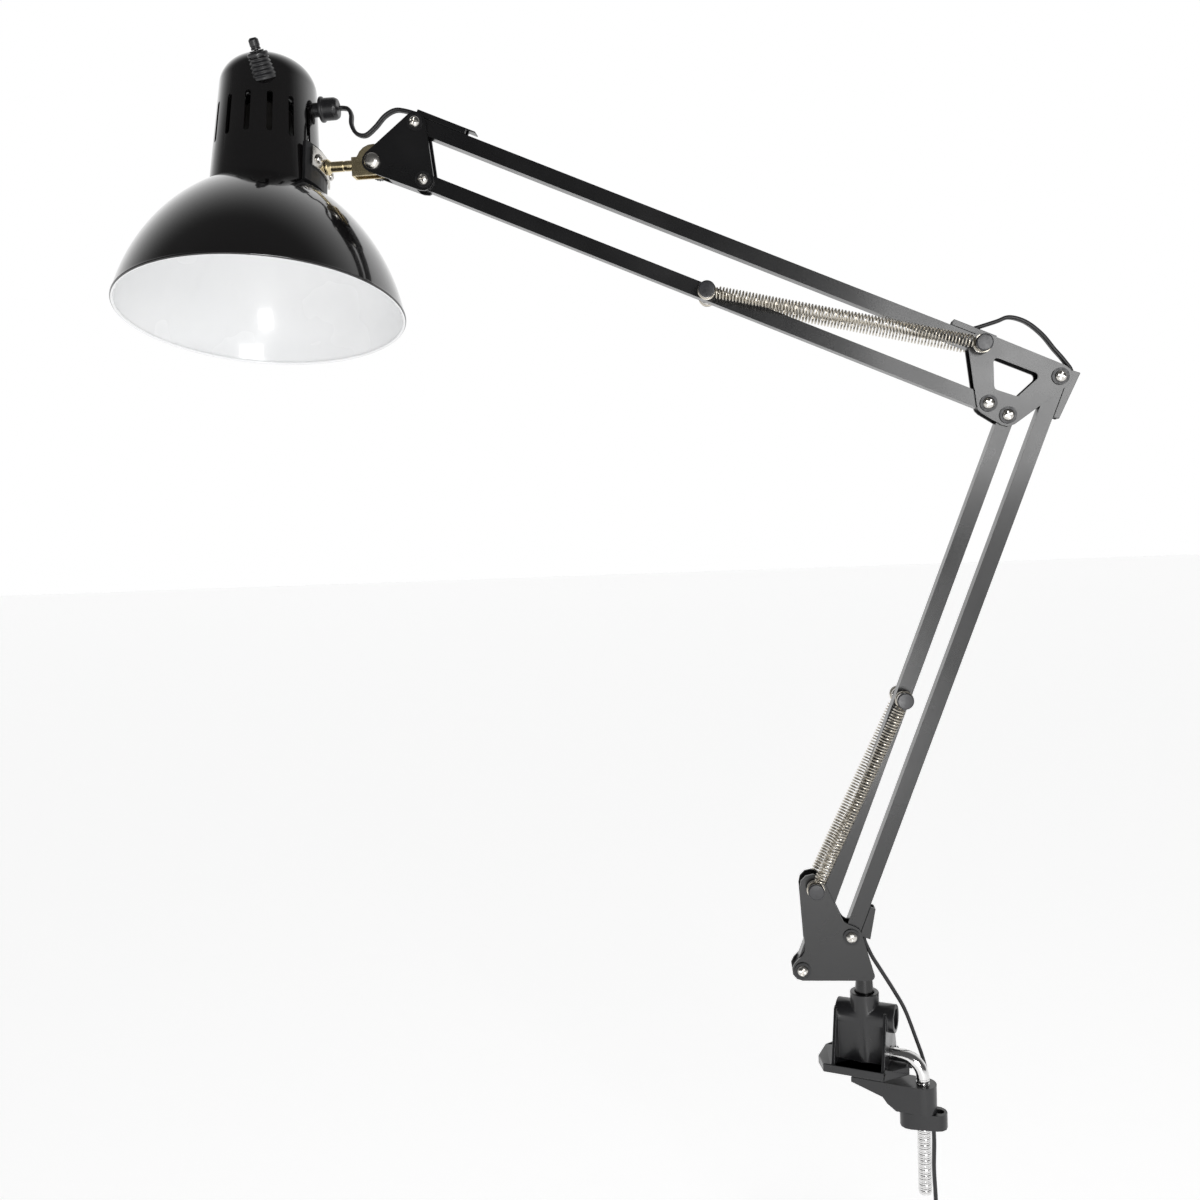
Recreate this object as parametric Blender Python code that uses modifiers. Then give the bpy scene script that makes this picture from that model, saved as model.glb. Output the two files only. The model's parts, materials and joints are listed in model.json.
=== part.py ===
"""Architect desk lamp: clamp, swivel stem, two spring-balanced parallel arms, and a tilting bowl shade.

Metres, +Z up. The arms swing in the XZ plane, the clamp plate's underside is Z = 0, and the stem is on the Z axis.
"""

import math

import bmesh
import bpy
from mathutils import Matrix, Vector

MM = 0.001
GAP = 0.3 * MM
FINE = 0.00001
STRAIGHT = math.radians(0.5)

# Arms. Angles are measured in the XZ plane from +X towards +Z.
LOWER_ARM_LENGTH = 373.0 * MM
LOWER_ARM_ANGLE = 69.0
UPPER_ARM_LENGTH = 380.0 * MM
UPPER_ARM_ANGLE = 155.5
BAR = 9.5 * MM
BAR_WALL = 1.0 * MM
BAR_END = BAR / 2

# Sheet brackets, folded from one plate each.
SHEET = 1.5 * MM
INNER_FACE = BAR / 2 + GAP
OUTER_FACE = INNER_FACE + SHEET
LOBE = 6.8 * MM
PIVOT_SHANK = 2.0 * MM
PIVOT_HEAD = 3.6 * MM
PIVOT_HEIGHT = 2.4 * MM
WASHER = 5.2 * MM
WASHER_HEIGHT = 0.8 * MM
NUT = 4.4 * MM
NUT_HEIGHT = 3.2 * MM

# Pivots, as (X, Z).
BASE_RIGHT = Vector((-8.0, 87.0)) * MM
BASE_SPAN = Vector((-31.3, -21.9)) * MM
ELBOW_OFFSET = Vector((-46.5, 21.6)) * MM
UPPER_SPAN = Vector((3.7, -35.8)) * MM
TILT_OFFSET = Vector((-28.8, -22.0)) * MM


def in_direction(angle):
    """Unit vector (X, Z) at this angle in degrees from +X towards +Z."""
    return Vector((math.cos(math.radians(angle)), math.sin(math.radians(angle))))


BASE_LEFT = BASE_RIGHT + BASE_SPAN
ELBOW_RIGHT = BASE_RIGHT + LOWER_ARM_LENGTH * in_direction(LOWER_ARM_ANGLE)
ELBOW_LOW = ELBOW_RIGHT + BASE_SPAN
ELBOW_TOP = ELBOW_RIGHT + ELBOW_OFFSET
ELBOW_LEFT = ELBOW_TOP + UPPER_SPAN
HEAD_TOP = ELBOW_TOP + UPPER_ARM_LENGTH * in_direction(UPPER_ARM_ANGLE)
HEAD_LOW = HEAD_TOP + UPPER_SPAN
TILT = HEAD_TOP + TILT_OFFSET

# Springs, two to an arm, outside the brackets.
SPRING_OD = 8.0 * MM
SPRING_WIRE = 1.0 * MM
SPRING_Y = OUTER_FACE + GAP + 0.9 * MM + SPRING_OD / 2
SPRING_BORE = 3.0 * MM
HOOK_RADIUS = 5.3 * MM
GROOVE_RADIUS = HOOK_RADIUS - SPRING_WIRE / 2 - GAP
POST_CAP = 5.2 * MM
POST_CAP_HEIGHT = 1.4 * MM
POST_SHANK = 2.5 * MM
LOWER_POST_AT = 187.0 * MM
UPPER_POST_AT = 186.0 * MM
SPRING_FLANGE = 0.8 * MM
SPRING_END = 5.0 * MM
BASE_STUD = Vector((-30.0, 119.5)) * MM

# Clamp.
CLAMP_TURN = -20.0
PLATE_THICKNESS = 5.5 * MM
PLATE_HALF_WIDTH = 19.5 * MM
BODY_BACK = -18.0 * MM
BODY_FRONT = 16.0 * MM
BODY_HALF_WIDTH = 8.0 * MM
RIB = 2.2 * MM
SOCKET_RADIUS = 9.2 * MM
STEM_BORE = 6.3 * MM
COLLAR_TOP = 49.0 * MM
BORE_FLOOR = 20.0 * MM
CROSS_HEIGHT = 33.5 * MM
CROSS_END = 20.0 * MM
CROSS_BORE = 6.3 * MM
ROD_RADIUS = 4.1 * MM
ROD_HEIGHT = 10.3 * MM
ROD_OUT = 36.0 * MM
ROD_IN = -8.0 * MM
ROD_BEND = 12.0 * MM
ROD_BOTTOM = -78.0 * MM
JAW_GAP = 6.0 * MM
JAW_DEPTH = 17.5 * MM
JAW_TIP = -8.0 * MM
JAW_RADIUS = 8.5 * MM
WING_SPAN = 8.0 * MM
WING_RADIUS = 6.7 * MM
WING_HEIGHT = 10.0 * MM
WING_HOLE = 3.0 * MM
WING_TURN = 12.0

# Base bracket and swivel stem.
STEM_RADIUS = STEM_BORE - GAP
BRACKET_BOTTOM = BASE_LEFT.y - LOBE
STEM_SHOULDER = 5.3 * MM
RIVET_RADIUS = 3.0 * MM
RIVET_HEAD = 4.4 * MM

# Head. Its own frame has X along the shaft and Z along the shade's axis.
HEAD_LEAN = 12.4
HEAD_REACH = 72.2 * MM
SHADE_RADIUS = 90.0 * MM
SHADE_WALL = 0.8 * MM
RIM_BEAD = 1.1 * MM
SHAFT_ABOVE_RIM = 98.0 * MM
SHADE_HEIGHT = 80.0 * MM
SHADE_ARC = 125.6 * MM
SHADE_ARC_TURN = 54.0
SHADE_RIM_TURN = 11.1
NECK_MARGIN = 0.8 * MM
NECK_OPENING = 21.0 * MM
CAP_RADIUS = 35.2 * MM
NECK_RADIUS = CAP_RADIUS + NECK_MARGIN
CAP_TOP_RADIUS = 31.0 * MM
CAP_WALL = 1.6 * MM
CAP_STRAIGHT = 55.0 * MM
CAP_FILLET = 18.0 * MM
SLOTS = 15
SLOT_WIDTH = 3.6 * MM
SLOT_LOW = 10.0 * MM
SLOT_HIGH = 38.0 * MM
SHAFT_RADIUS = 3.3 * MM
SPIGOT_RADIUS = 2.0 * MM
PAD_THICKNESS = 3.2 * MM
SADDLE_THICKNESS = 1.4 * MM
SADDLE_HALF_LENGTH = 16.0 * MM
SADDLE_HALF_HEIGHT = 6.5 * MM
SADDLE_SCREW_Y = 10.5 * MM
FORK_RADIUS = 11.3 * MM
FORK_SHEET = 1.5 * MM
FORK_OUT = 14.2 * MM
FORK_FACE = INNER_FACE - GAP
TILT_SHANK = 2.5 * MM
TILT_HEAD = 5.3 * MM
TILT_KNOB = 7.2 * MM
TILT_KNOB_HEIGHT = 7.0 * MM
BUSHING_RADIUS = 7.0 * MM
BUSHING_HEIGHT = 40.5 * MM
BUSHING_END = 47.5 * MM
SWITCH_AT = Vector((7.0, -34.4, 58.0)) * MM
SWITCH_AIM = Vector((-0.12, -0.62, 0.78))
SWITCH_BOSS = 8.0 * MM
SWITCH_BUSH = 4.5 * MM
SWITCH_NUT = 6.6 * MM
SWITCH_KNOB = 3.1 * MM
SWITCH_KNOB_LENGTH = 7.0 * MM
SOCKET_BODY = 16.5 * MM
SHELL_RADIUS = 13.8 * MM
SHELL_WALL = 0.5 * MM

# Flat two-core cord.
CORD_WIDTH = 5.0 * MM
CORD_THICKNESS = 2.5 * MM
CORD_CUT = 0.2 * MM
CORD_ON_BAR = BAR / 2 + GAP + CORD_THICKNESS / 2
CLIP_FOOT = BAR / 2 + GAP
CLIP_ROOF = CLIP_FOOT + CORD_THICKNESS + GAP
CLIP_WALL = 0.8 * MM
HANK_INNER = 14.3 * MM
HANK_OUTER = 22.4 * MM
HANK_WIDTH = 10.4 * MM
HANK_STRAIGHT = 78.0 * MM
HANK_CENTRE = Vector((23.0, 5.0, -161.4)) * MM

PARTS = "architect_desk_lamp"
CUTTERS = "cutters"


def clear_scene():
    for thing in list(bpy.data.objects):
        bpy.data.objects.remove(thing)


def collection(name, hidden):
    group = bpy.data.collections.new(name)
    bpy.context.scene.collection.children.link(group)
    group.hide_render = hidden
    return group


def material(name, color, roughness, metallic=0.0):
    found = bpy.data.materials.get(name)
    if found:
        return found
    made = bpy.data.materials.new(name)
    made.use_nodes = True
    shader = made.node_tree.nodes["Principled BSDF"]
    shader.inputs["Base Color"].default_value = (*color, 1.0)
    shader.inputs["Roughness"].default_value = roughness
    shader.inputs["Metallic"].default_value = metallic
    return made


def black_paint():
    return material("black_gloss_paint", (0.01, 0.01, 0.011), 0.18)


def black_plastic():
    return material("black_gloss_plastic", (0.012, 0.012, 0.013), 0.25)


def dark_plastic():
    return material("dark_matte_plastic", (0.02, 0.02, 0.02), 0.5)


def bright_nickel():
    return material("bright_nickel", (0.72, 0.7, 0.66), 0.2, 1.0)


def brass():
    return material("yellow_brass", (0.63, 0.52, 0.3), 0.3, 1.0)


def chrome():
    return material("chrome_steel", (0.8, 0.8, 0.8), 0.1, 1.0)


def cord_jacket():
    return material("black_cord_jacket", (0.015, 0.015, 0.015), 0.5)


def in_space(place):
    """The arm plane's (X, Z) as a point in space."""
    return Vector((place[0], 0.0, place[1]))


def frame(name, place, parent=None, turn=None):
    """An empty on a joint's axis, which carries one moving body's pieces.

    What is placed on it is given in the lamp's own coordinates, or in the empty's where it is turned.
    """
    empty = bpy.data.objects.new(name, None)
    empty.location = Vector(place) - (start_of(parent) if parent else Vector())
    empty.rotation_euler = turn or (0.0, 0.0, 0.0)
    empty.parent = parent
    empty.empty_display_size = 10 * MM
    empty["start"] = Vector() if turn else Vector(place)
    bpy.data.collections[PARTS].objects.link(empty)
    return empty


def start_of(body):
    return Vector(body["start"])


def mesh_object(name, mesh, body, surface, location=(0.0, 0.0, 0.0), rotation=(0.0, 0.0, 0.0)):
    thing = bpy.data.objects.new(name, mesh)
    thing.location = Vector(location) - start_of(body)
    thing.rotation_euler = rotation
    thing.parent = body
    group = CUTTERS if surface is None else PARTS
    bpy.data.collections[group].objects.link(thing)
    if surface is None:
        thing.hide_render = True
        thing.display_type = "WIRE"
    else:
        mesh.materials.append(surface)
        mesh.shade_smooth()
        mesh.set_sharp_from_angle(angle=math.radians(35))
    return thing


def mesh_from(shape, name):
    bmesh.ops.recalc_face_normals(shape, faces=shape.faces)
    mesh = bpy.data.meshes.new(name)
    shape.to_mesh(mesh)
    shape.free()
    return mesh


def box(name, low, high, body, surface, location=(0.0, 0.0, 0.0), rotation=(0.0, 0.0, 0.0)):
    low, high = Vector(low), Vector(high)
    shape = bmesh.new()
    bmesh.ops.create_cube(shape, size=1.0)
    bmesh.ops.scale(shape, vec=high - low, verts=shape.verts)
    bmesh.ops.translate(shape, vec=(low + high) / 2, verts=shape.verts)
    return mesh_object(name, mesh_from(shape, name), body, surface, location, rotation)


def aim(direction):
    return Vector(direction).to_track_quat("Z", "Y").to_euler()


def cylinder(name, radius, start, end, body, surface, sides=20):
    start, end = Vector(start), Vector(end)
    shape = bmesh.new()
    length = (end - start).length
    bmesh.ops.create_cone(shape, cap_ends=True, segments=sides, radius1=radius, radius2=radius, depth=length)
    return mesh_object(name, mesh_from(shape, name), body, surface, (start + end) / 2, aim(end - start))


def turned(name, profile, body, surface, base=(0.0, 0.0, 0.0), direction=(0.0, 0.0, 1.0), steps=32, ring=False):
    """A profile of (radius, height) points, listed down the outer side, turned about the direction through base."""
    shape = bmesh.new()
    points = [shape.verts.new((radius, 0.0, height)) for radius, height in profile]
    for first, second in zip(points, points[1:]):
        shape.edges.new((first, second))
    if ring:
        shape.edges.new((points[-1], points[0]))
    mesh = bpy.data.meshes.new(name)
    shape.to_mesh(mesh)
    shape.free()
    thing = mesh_object(name, mesh, body, surface, base, aim(direction))
    screw = thing.modifiers.new("turn", "SCREW")
    screw.steps = steps
    screw.render_steps = steps
    screw.use_merge_vertices = True
    screw.merge_threshold = FINE
    screw.use_smooth_shade = True
    return thing


def arc(centre, radius, start, end, steps):
    """Points (X, Z) on an arc, from one angle in degrees to another."""
    angles = [start + (end - start) * step / steps for step in range(steps + 1)]
    return [Vector(centre) + radius * in_direction(angle) for angle in angles]


def circle(centre, radius, sides=10):
    return arc(centre, radius, 0, 360 - 360 / sides, sides - 1)


def belt(discs, step=30.0):
    """Outline that runs anticlockwise round discs (centre, radius); a negative radius is passed on its inside."""
    normals = []
    for (first, first_radius), (second, second_radius) in zip(discs, discs[1:] + discs[:1]):
        along = second - first
        length = along.length
        along = along / length
        right = Vector((along.y, -along.x))
        share = (first_radius - second_radius) / length
        normals.append(share * along + math.sqrt(1 - share * share) * right)
    outline = []
    for index, (centre, radius) in enumerate(discs):
        start = math.degrees(math.atan2(normals[index - 1].y, normals[index - 1].x))
        end = math.degrees(math.atan2(normals[index].y, normals[index].x))
        turn = (end - start) % 360.0
        if radius < 0:
            turn -= 360.0
        steps = max(1, round(abs(turn) / step))
        outline += arc(centre, radius, start, start + turn, steps)
    return outline


def flat(name, outlines, thickness, middle, body, surface, lying=False, **place):
    """Outlines in the XZ plane, or in XY where it is lying, made into a plate about this middle."""
    curve = bpy.data.curves.new(name, "CURVE")
    curve.dimensions = "2D"
    curve.fill_mode = "BOTH"
    curve.extrude = thickness / 2
    for outline in outlines:
        spline = curve.splines.new("POLY")
        spline.points.add(len(outline) - 1)
        for point, (across, up) in zip(spline.points, outline):
            point.co = (across, up, 0.0, 1.0)
        spline.use_cyclic_u = True
    guide = bpy.data.objects.new(name + "_outline", curve)
    bpy.data.collections[CUTTERS].objects.link(guide)
    mesh = bpy.data.meshes.new_from_object(guide.evaluated_get(bpy.context.evaluated_depsgraph_get()))
    bpy.data.objects.remove(guide)
    mesh.name = name
    shape = bmesh.new()
    shape.from_mesh(mesh)
    bmesh.ops.remove_doubles(shape, verts=shape.verts, dist=FINE)
    turn = Matrix.Translation((0.0, 0.0, middle))
    if not lying:
        turn = Matrix.Rotation(math.radians(90), 4, "X") @ Matrix.Translation((0.0, 0.0, -middle))
    bmesh.ops.transform(shape, matrix=turn, verts=shape.verts)
    bmesh.ops.recalc_face_normals(shape, faces=shape.faces)
    shape.to_mesh(mesh)
    shape.free()
    return mesh_object(name, mesh, body, surface, **place)


def tube(name, points, radius, body, surface, resolution=2):
    curve = bpy.data.curves.new(name, "CURVE")
    curve.dimensions = "3D"
    curve.bevel_depth = radius
    curve.bevel_resolution = resolution
    curve.use_fill_caps = True
    spline = curve.splines.new("POLY")
    spline.points.add(len(points) - 1)
    for point, place in zip(spline.points, points):
        point.co = (*place, 1.0)
    thing = bpy.data.objects.new(name, curve)
    thing.location = -start_of(body)
    thing.parent = body
    bpy.data.collections[PARTS].objects.link(thing)
    curve.materials.append(surface)
    return thing


def smooth(points):
    """Points close together on the Catmull-Rom curve through a route's own points, twelve to each."""
    points = [Vector(point) for point in points]
    points = [2 * points[0] - points[1]] + points + [2 * points[-1] - points[-2]]
    fine = [points[1]]
    for before, start, end, after in zip(points, points[1:], points[2:], points[3:]):
        for step in range(1, 13):
            t = step / 12
            fine.append(
                0.5 * (2 * start + (end - before) * t
                       + (2 * before - 5 * start + 4 * end - after) * t * t
                       + (3 * start - before - 3 * end + after) * t * t * t)
            )
    return fine


def thinned(fine, spacing):
    """The points of a curve that are this far apart, leaving out those on its straight stretches."""
    kept = [fine[0]]
    for point, after in zip(fine[1:-1], fine[2:]):
        straight = (point - kept[-1]).angle(after - point) < STRAIGHT
        far_enough = (point - kept[-1]).length >= spacing and (point - fine[-1]).length >= spacing / 2
        if far_enough and not straight:
            kept.append(point)
    return kept + [fine[-1]]


def cord(name, route, body):
    """A flat cord with its width along Y. Its curve is drawn in a plane that is then stood up, X and Z."""
    points = [(place.x, place.z, -place.y) for place in route]
    thing = tube(name, points, CORD_THICKNESS / 2, body, cord_jacket())
    thing.data.extrude = (CORD_WIDTH - CORD_THICKNESS) / 2
    thing.data.twist_mode = "Z_UP"
    thing.rotation_euler = (math.radians(90), 0.0, 0.0)
    return thing


def cord_run(stretches):
    """One cord along one smooth curve, cut square across where it passes from one moving body to the next."""
    fine = smooth([point for stretch in stretches for point in stretch[3]])
    first = 0
    for index, (name, body, spacing, points) in enumerate(stretches):
        last = first + 12 * (len(points) - (1 if index == 0 else 0))
        ahead = (fine[first + 1] - fine[max(first - 1, 0)]).normalized()
        behind = (fine[min(last + 1, len(fine) - 1)] - fine[last - 1]).normalized()
        start = fine[first] + ahead * CORD_CUT
        end = fine[last] - behind * CORD_CUT
        inside = [point for point in fine[first + 1:last]
                  if (point - start).length > 1.5 * MM and (point - end).length > 1.5 * MM]
        route = thinned([start + ahead * MM] + inside + [end - behind * MM], spacing)
        cord(name, [start] + route + [end], body)
        first = last


def apply_boolean(thing, other, operation):
    step = thing.modifiers.new(operation.lower(), "BOOLEAN")
    step.operation = operation
    step.object = other


def cut(thing, *cutters):
    for cutter in cutters:
        apply_boolean(thing, cutter, "DIFFERENCE")
    return thing


def join(thing, *others):
    for other in others:
        apply_boolean(thing, other, "UNION")
    return thing


def notch(start, end, from_start, to_end, inner):
    """Outline of all that lies inside a folded plate, but for its web along the line from start to end."""
    along = (end - start).normalized()
    right = Vector((along.y, -along.x))
    length = (end - start).length
    far = 200 * MM
    steps = [
        (-far, far), (from_start, far), (from_start, inner), (length - to_end, inner),
        (length - to_end, far), (length + far, far), (length + far, -far), (-far, -far),
    ]
    return [start + step * along + out * right for step, out in steps]


def folded(name, outline, web, holes, body, windows=()):
    """Two sheets and a web between them, cut from one block of the bracket's outline."""
    rings = [circle(place, radius + GAP) for place, radius in holes] + list(windows)
    piece = flat(name, [outline, *rings], 2 * OUTER_FACE, 0.0, body, black_paint())
    return cut(piece, flat(name + "_inside", [web], 2 * INNER_FACE, 0.0, body, None))


# --- turned fasteners ---


def pivot_screw(name, place, body):
    """Domed screw and washer at the front, and its nut at the back."""
    back = OUTER_FACE + GAP
    nut = back + NUT_HEIGHT
    seat = -back - WASHER_HEIGHT
    profile = [
        (0.0, nut), (NUT, nut), (NUT, back),
        (PIVOT_SHANK, back), (PIVOT_SHANK, -back), (WASHER, -back), (WASHER, seat), (PIVOT_HEAD, seat),
        (0.8 * PIVOT_HEAD, seat - 0.6 * PIVOT_HEIGHT),
        (0.0, seat - PIVOT_HEIGHT),
    ]
    return turned(name, profile, body, bright_nickel(), in_space(place), (0.0, 1.0, 0.0), 10)


def stud_profile():
    """One end of a spring post, from its cap down to its shank."""
    flange = OUTER_FACE + GAP
    groove = flange + SPRING_FLANGE
    cap = SPRING_Y + SPRING_OD / 2 + 0.1 * MM
    top = cap + POST_CAP_HEIGHT
    return [
        (0.0, top), (POST_CAP, top - 0.4 * MM), (POST_CAP, cap), (GROOVE_RADIUS, cap),
        (GROOVE_RADIUS, groove), (POST_CAP, groove), (POST_CAP, flange), (POST_SHANK, flange),
    ]


def spring_post(name, place, body):
    half = stud_profile()
    other = [(radius, -height) for radius, height in reversed(half)]
    return turned(name, half + other, body, bright_nickel(), in_space(place), (0.0, 1.0, 0.0), 10)


def spring_stud(name, place, side, body):
    profile = stud_profile() + [(POST_SHANK, INNER_FACE), (0.0, INNER_FACE)]
    return turned(name, profile, body, bright_nickel(), in_space(place), (0.0, side, 0.0), 10)


def spring(name, first, second, side, body):
    """A close-wound spring's outer shape, bored along its axis, with a hook ring round the post at each end."""
    start = in_space(first) + Vector((0.0, side * SPRING_Y, 0.0))
    end = in_space(second) + Vector((0.0, side * SPRING_Y, 0.0))
    length = (end - start).length
    outer = SPRING_OD / 2
    neck, eye, slope = 2.2 * MM, 1.2 * MM, 2.5 * MM
    low, high = SPRING_END, length - SPRING_END
    profile = [
        (eye, high), (neck, high), (outer, high - slope), (outer, low + slope), (neck, low), (eye, low),
        (SPRING_BORE, low + 2 * slope), (SPRING_BORE, high - 2 * slope),
    ]
    piece = turned(name, profile, body, bright_nickel(), start, end - start, 10, ring=True)
    half = SPRING_WIRE / 2
    wire = [(HOOK_RADIUS, half), (HOOK_RADIUS + half, 0.0), (HOOK_RADIUS, -half), (HOOK_RADIUS - half, 0.0)]
    for label, place in (("first", start), ("second", end)):
        hook = turned(f"{name}_hook_{label}", wire, body, None, place, (0.0, 1.0, 0.0), 12, ring=True)
        join(piece, hook)
    return piece


# --- arms ---


def bar(name, place, angle, length, holes, slots, body):
    """A square tube along X from its pivot, with pivot holes, and cord slots in its outer (-Z) wall."""
    where = {"location": in_space(place), "rotation": (0.0, -math.radians(angle), 0.0)}
    outline = belt([(Vector((0.0, 0.0)), BAR_END), (Vector((length, 0.0)), BAR_END)], step=30)
    rings = [circle((at, 0.0), radius + GAP) for at, radius in holes]
    piece = flat(name, [outline, *rings], BAR, 0.0, body, black_paint(), **where)
    hollow = BAR / 2 - BAR_WALL
    low, high = (-BAR, -hollow, -hollow), (length + BAR, hollow, hollow)
    cut(piece, box(name + "_hollow", low, high, body, None, **where))
    for index, (start, end) in enumerate(slots):
        low = (start, -CORD_WIDTH / 2 - GAP, -BAR)
        high = (end, CORD_WIDTH / 2 + GAP, -hollow / 2)
        cut(piece, box(f"{name}_slot_{index}", low, high, body, None, **where))
    return piece


def cord_clip(name, place, angle, outside, inside, body):
    """A channel over the cord. Its outlines are (along the bar, out from its axis)."""
    where = {"location": in_space(place), "rotation": (0.0, -math.radians(angle), 0.0)}
    outside = [Vector((along, -out)) for along, out in outside]
    inside = [Vector((along, -out)) for along, out in inside]
    piece = flat(name, [outside], BAR - 2 * GAP, 0.0, body, black_paint(), **where)
    return cut(piece, flat(name + "_channel", [inside], CORD_WIDTH + 2 * GAP, 0.0, body, None, **where))


def clip_outlines(start, end, tongue=0.0, open_length=0.0, start_flare=0.0, end_flare=0.0):
    """A clip, whose roof runs past its start as a tongue, stops short of it, or rises towards one end."""
    foot, roof, wall = CLIP_FOOT, CLIP_ROOF, CLIP_WALL
    slope = (end_flare - start_flare) / (end - start)

    def under(along):
        return roof + start_flare + slope * (along - start)

    outside = [(start, foot), (end, foot), (end, under(end) + wall), (start - tongue, under(start) + wall)]
    if tongue:
        outside += [(start - tongue, roof), (start, roof)]
    low, high, stop = start - tongue - BAR, end + BAR, start + open_length
    inside = [(low, 0.0), (high, 0.0), (high, under(high)), (stop, under(stop))]
    if open_length:
        inside += [(stop, 2 * BAR), (low, 2 * BAR)]
    else:
        inside += [(low, under(low))]
    return outside, inside


def on_bar(place, angle, along, out, y=0.0):
    """A point this far along a bar and out from its axis on the cord's side."""
    ahead = in_direction(angle)
    found = place + along * ahead + out * Vector((ahead.y, -ahead.x))
    return Vector((found.x, y, found.y))


# --- clamp ---


def clamp_turn():
    return (0.0, 0.0, math.radians(CLAMP_TURN))


def build_clamp(body):
    axes = frame("clamp_axes", (0.0, 0.0, 0.0), body, clamp_turn())
    half = PLATE_HALF_WIDTH
    tip = ROD_OUT - ROD_RADIUS - 0.9 * MM
    back = BODY_BACK - 11 * MM
    plan = [
        Vector((back, -9 * MM)), Vector((back + 6 * MM, -half)), Vector((BODY_FRONT - 0.5 * MM, -half)),
        Vector((tip, -2 * MM)), Vector((tip, 2 * MM)), Vector((BODY_FRONT - 0.5 * MM, half)),
        Vector((back + 6 * MM, half)), Vector((back, 9 * MM)),
    ]
    plate = flat("clamp_body", [plan], PLATE_THICKNESS, PLATE_THICKNESS / 2, axes, black_paint(), lying=True)
    sunk = PLATE_THICKNESS - 1 * MM
    shoulder = CROSS_HEIGHT - 0.5 * MM
    block = box("clamp_block", (BODY_BACK + 0.4 * MM, -BODY_HALF_WIDTH, sunk),
                (BODY_FRONT - 0.4 * MM, BODY_HALF_WIDTH, shoulder), axes, None)
    socket = cylinder("clamp_socket", SOCKET_RADIUS, (0, 0, sunk), (0, 0, COLLAR_TOP), axes, None, 24)
    cross = cylinder("clamp_cross_socket", SOCKET_RADIUS - 0.2 * MM, (BODY_BACK + 0.2 * MM, 0, CROSS_HEIGHT),
                     (CROSS_END, 0, CROSS_HEIGHT), axes, None, 20)
    rib_top = CROSS_HEIGHT + 5.5 * MM
    rib = [(half - 0.5 * MM, sunk), (SOCKET_RADIUS, rib_top), (-SOCKET_RADIUS, rib_top), (0.5 * MM - half, sunk)]
    ribs = []
    for label, middle in (("back", BODY_BACK + RIB / 2), ("front", BODY_FRONT - RIB / 2)):
        piece = flat("clamp_rib_" + label, [rib], RIB, 0.0, axes, None)
        piece.rotation_euler = (0.0, 0.0, math.radians(90))
        piece.location = (middle, 0.0, 0.0)
        ribs.append(piece)
    join(plate, block, socket, cross, *ribs)
    far = 60 * MM
    stem_bore = cylinder("stem_bore", STEM_BORE, (0, 0, BORE_FLOOR), (0, 0, far), axes, None, 24)
    cross_bore = cylinder("cross_bore", CROSS_BORE, (0.5 * STEM_BORE, 0, CROSS_HEIGHT), (far, 0, CROSS_HEIGHT),
                          axes, None, 20)
    rod_bore = cylinder("rod_bore", ROD_RADIUS + GAP, (ROD_IN - GAP, 0, ROD_HEIGHT), (far, 0, ROD_HEIGHT),
                        axes, None)
    corner = Vector((ROD_OUT - ROD_BEND, ROD_HEIGHT - ROD_BEND))
    inside, rise = ROD_BEND - ROD_RADIUS, PLATE_THICKNESS - corner.y
    start = corner.x + math.sqrt(max(inside * inside - rise * rise, 0.0)) - 2 * GAP
    slot = ROD_RADIUS + GAP
    rod_slot = box("rod_slot", (start, -slot, -slot), (far, slot, ROD_HEIGHT), axes, None)
    cut(plate, stem_bore, cross_bore, rod_bore, rod_slot)
    bend = [(point.x, 0.0, point.y) for point in arc(corner, ROD_BEND, 90, 0, 6)]
    tube("clamp_rod", [(ROD_IN, 0, ROD_HEIGHT)] + bend + [(ROD_OUT, 0, ROD_BOTTOM)], ROD_RADIUS, axes, chrome(), 4)


def rod_place():
    turn = math.radians(CLAMP_TURN)
    return Vector((ROD_OUT * math.cos(turn), ROD_OUT * math.sin(turn), 0.0))


def build_jaw(body):
    axes = frame("lower_jaw_axes", rod_place(), body, clamp_turn())
    tip = JAW_TIP - ROD_OUT
    plan = [Vector((tip, -JAW_RADIUS))] + arc((0.0, 0.0), JAW_RADIUS, -90, 90, 12) + [Vector((tip, JAW_RADIUS))]
    low = -JAW_GAP - JAW_DEPTH
    middle = -JAW_GAP - JAW_DEPTH / 2
    hole = circle((0.0, 0.0), ROD_RADIUS + GAP, 16)
    jaw = flat("lower_jaw", [plan, hole], JAW_DEPTH, middle, axes, black_paint(), lying=True)
    reach = tip - 2 * MM
    under = [
        Vector((reach, low - 5 * MM)), Vector((-15.5 * MM, low - 5 * MM)), Vector((-15.5 * MM, low)),
        Vector((-21 * MM, low + 4 * MM)), Vector((-24 * MM, low + 7.9 * MM)),
        Vector((tip, -JAW_GAP - 3 * MM)), Vector((reach, -JAW_GAP - 3 * MM)),
    ]
    waste = flat("lower_jaw_underside", [under], 4 * JAW_RADIUS, 0.0, axes, None)
    cut(jaw, waste)


def build_wing_nut(body):
    axes = frame("wing_nut_axes", rod_place(), body, (0.0, 0.0, math.radians(CLAMP_TURN + WING_TURN)))
    top = -JAW_GAP - JAW_DEPTH - GAP
    lobes = [(Vector((-WING_SPAN, 0.0)), WING_RADIUS), (Vector((WING_SPAN, 0.0)), WING_RADIUS)]
    out = WING_SPAN + 1.8 * MM
    holes = [circle((0.0, 0.0), ROD_RADIUS + GAP, 16), circle((-out, 0.0), WING_HOLE), circle((out, 0.0), WING_HOLE)]
    flat("wing_nut", [belt(lobes), *holes], WING_HEIGHT, top - WING_HEIGHT / 2, axes, black_plastic(), lying=True)


# --- base ---


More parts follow.
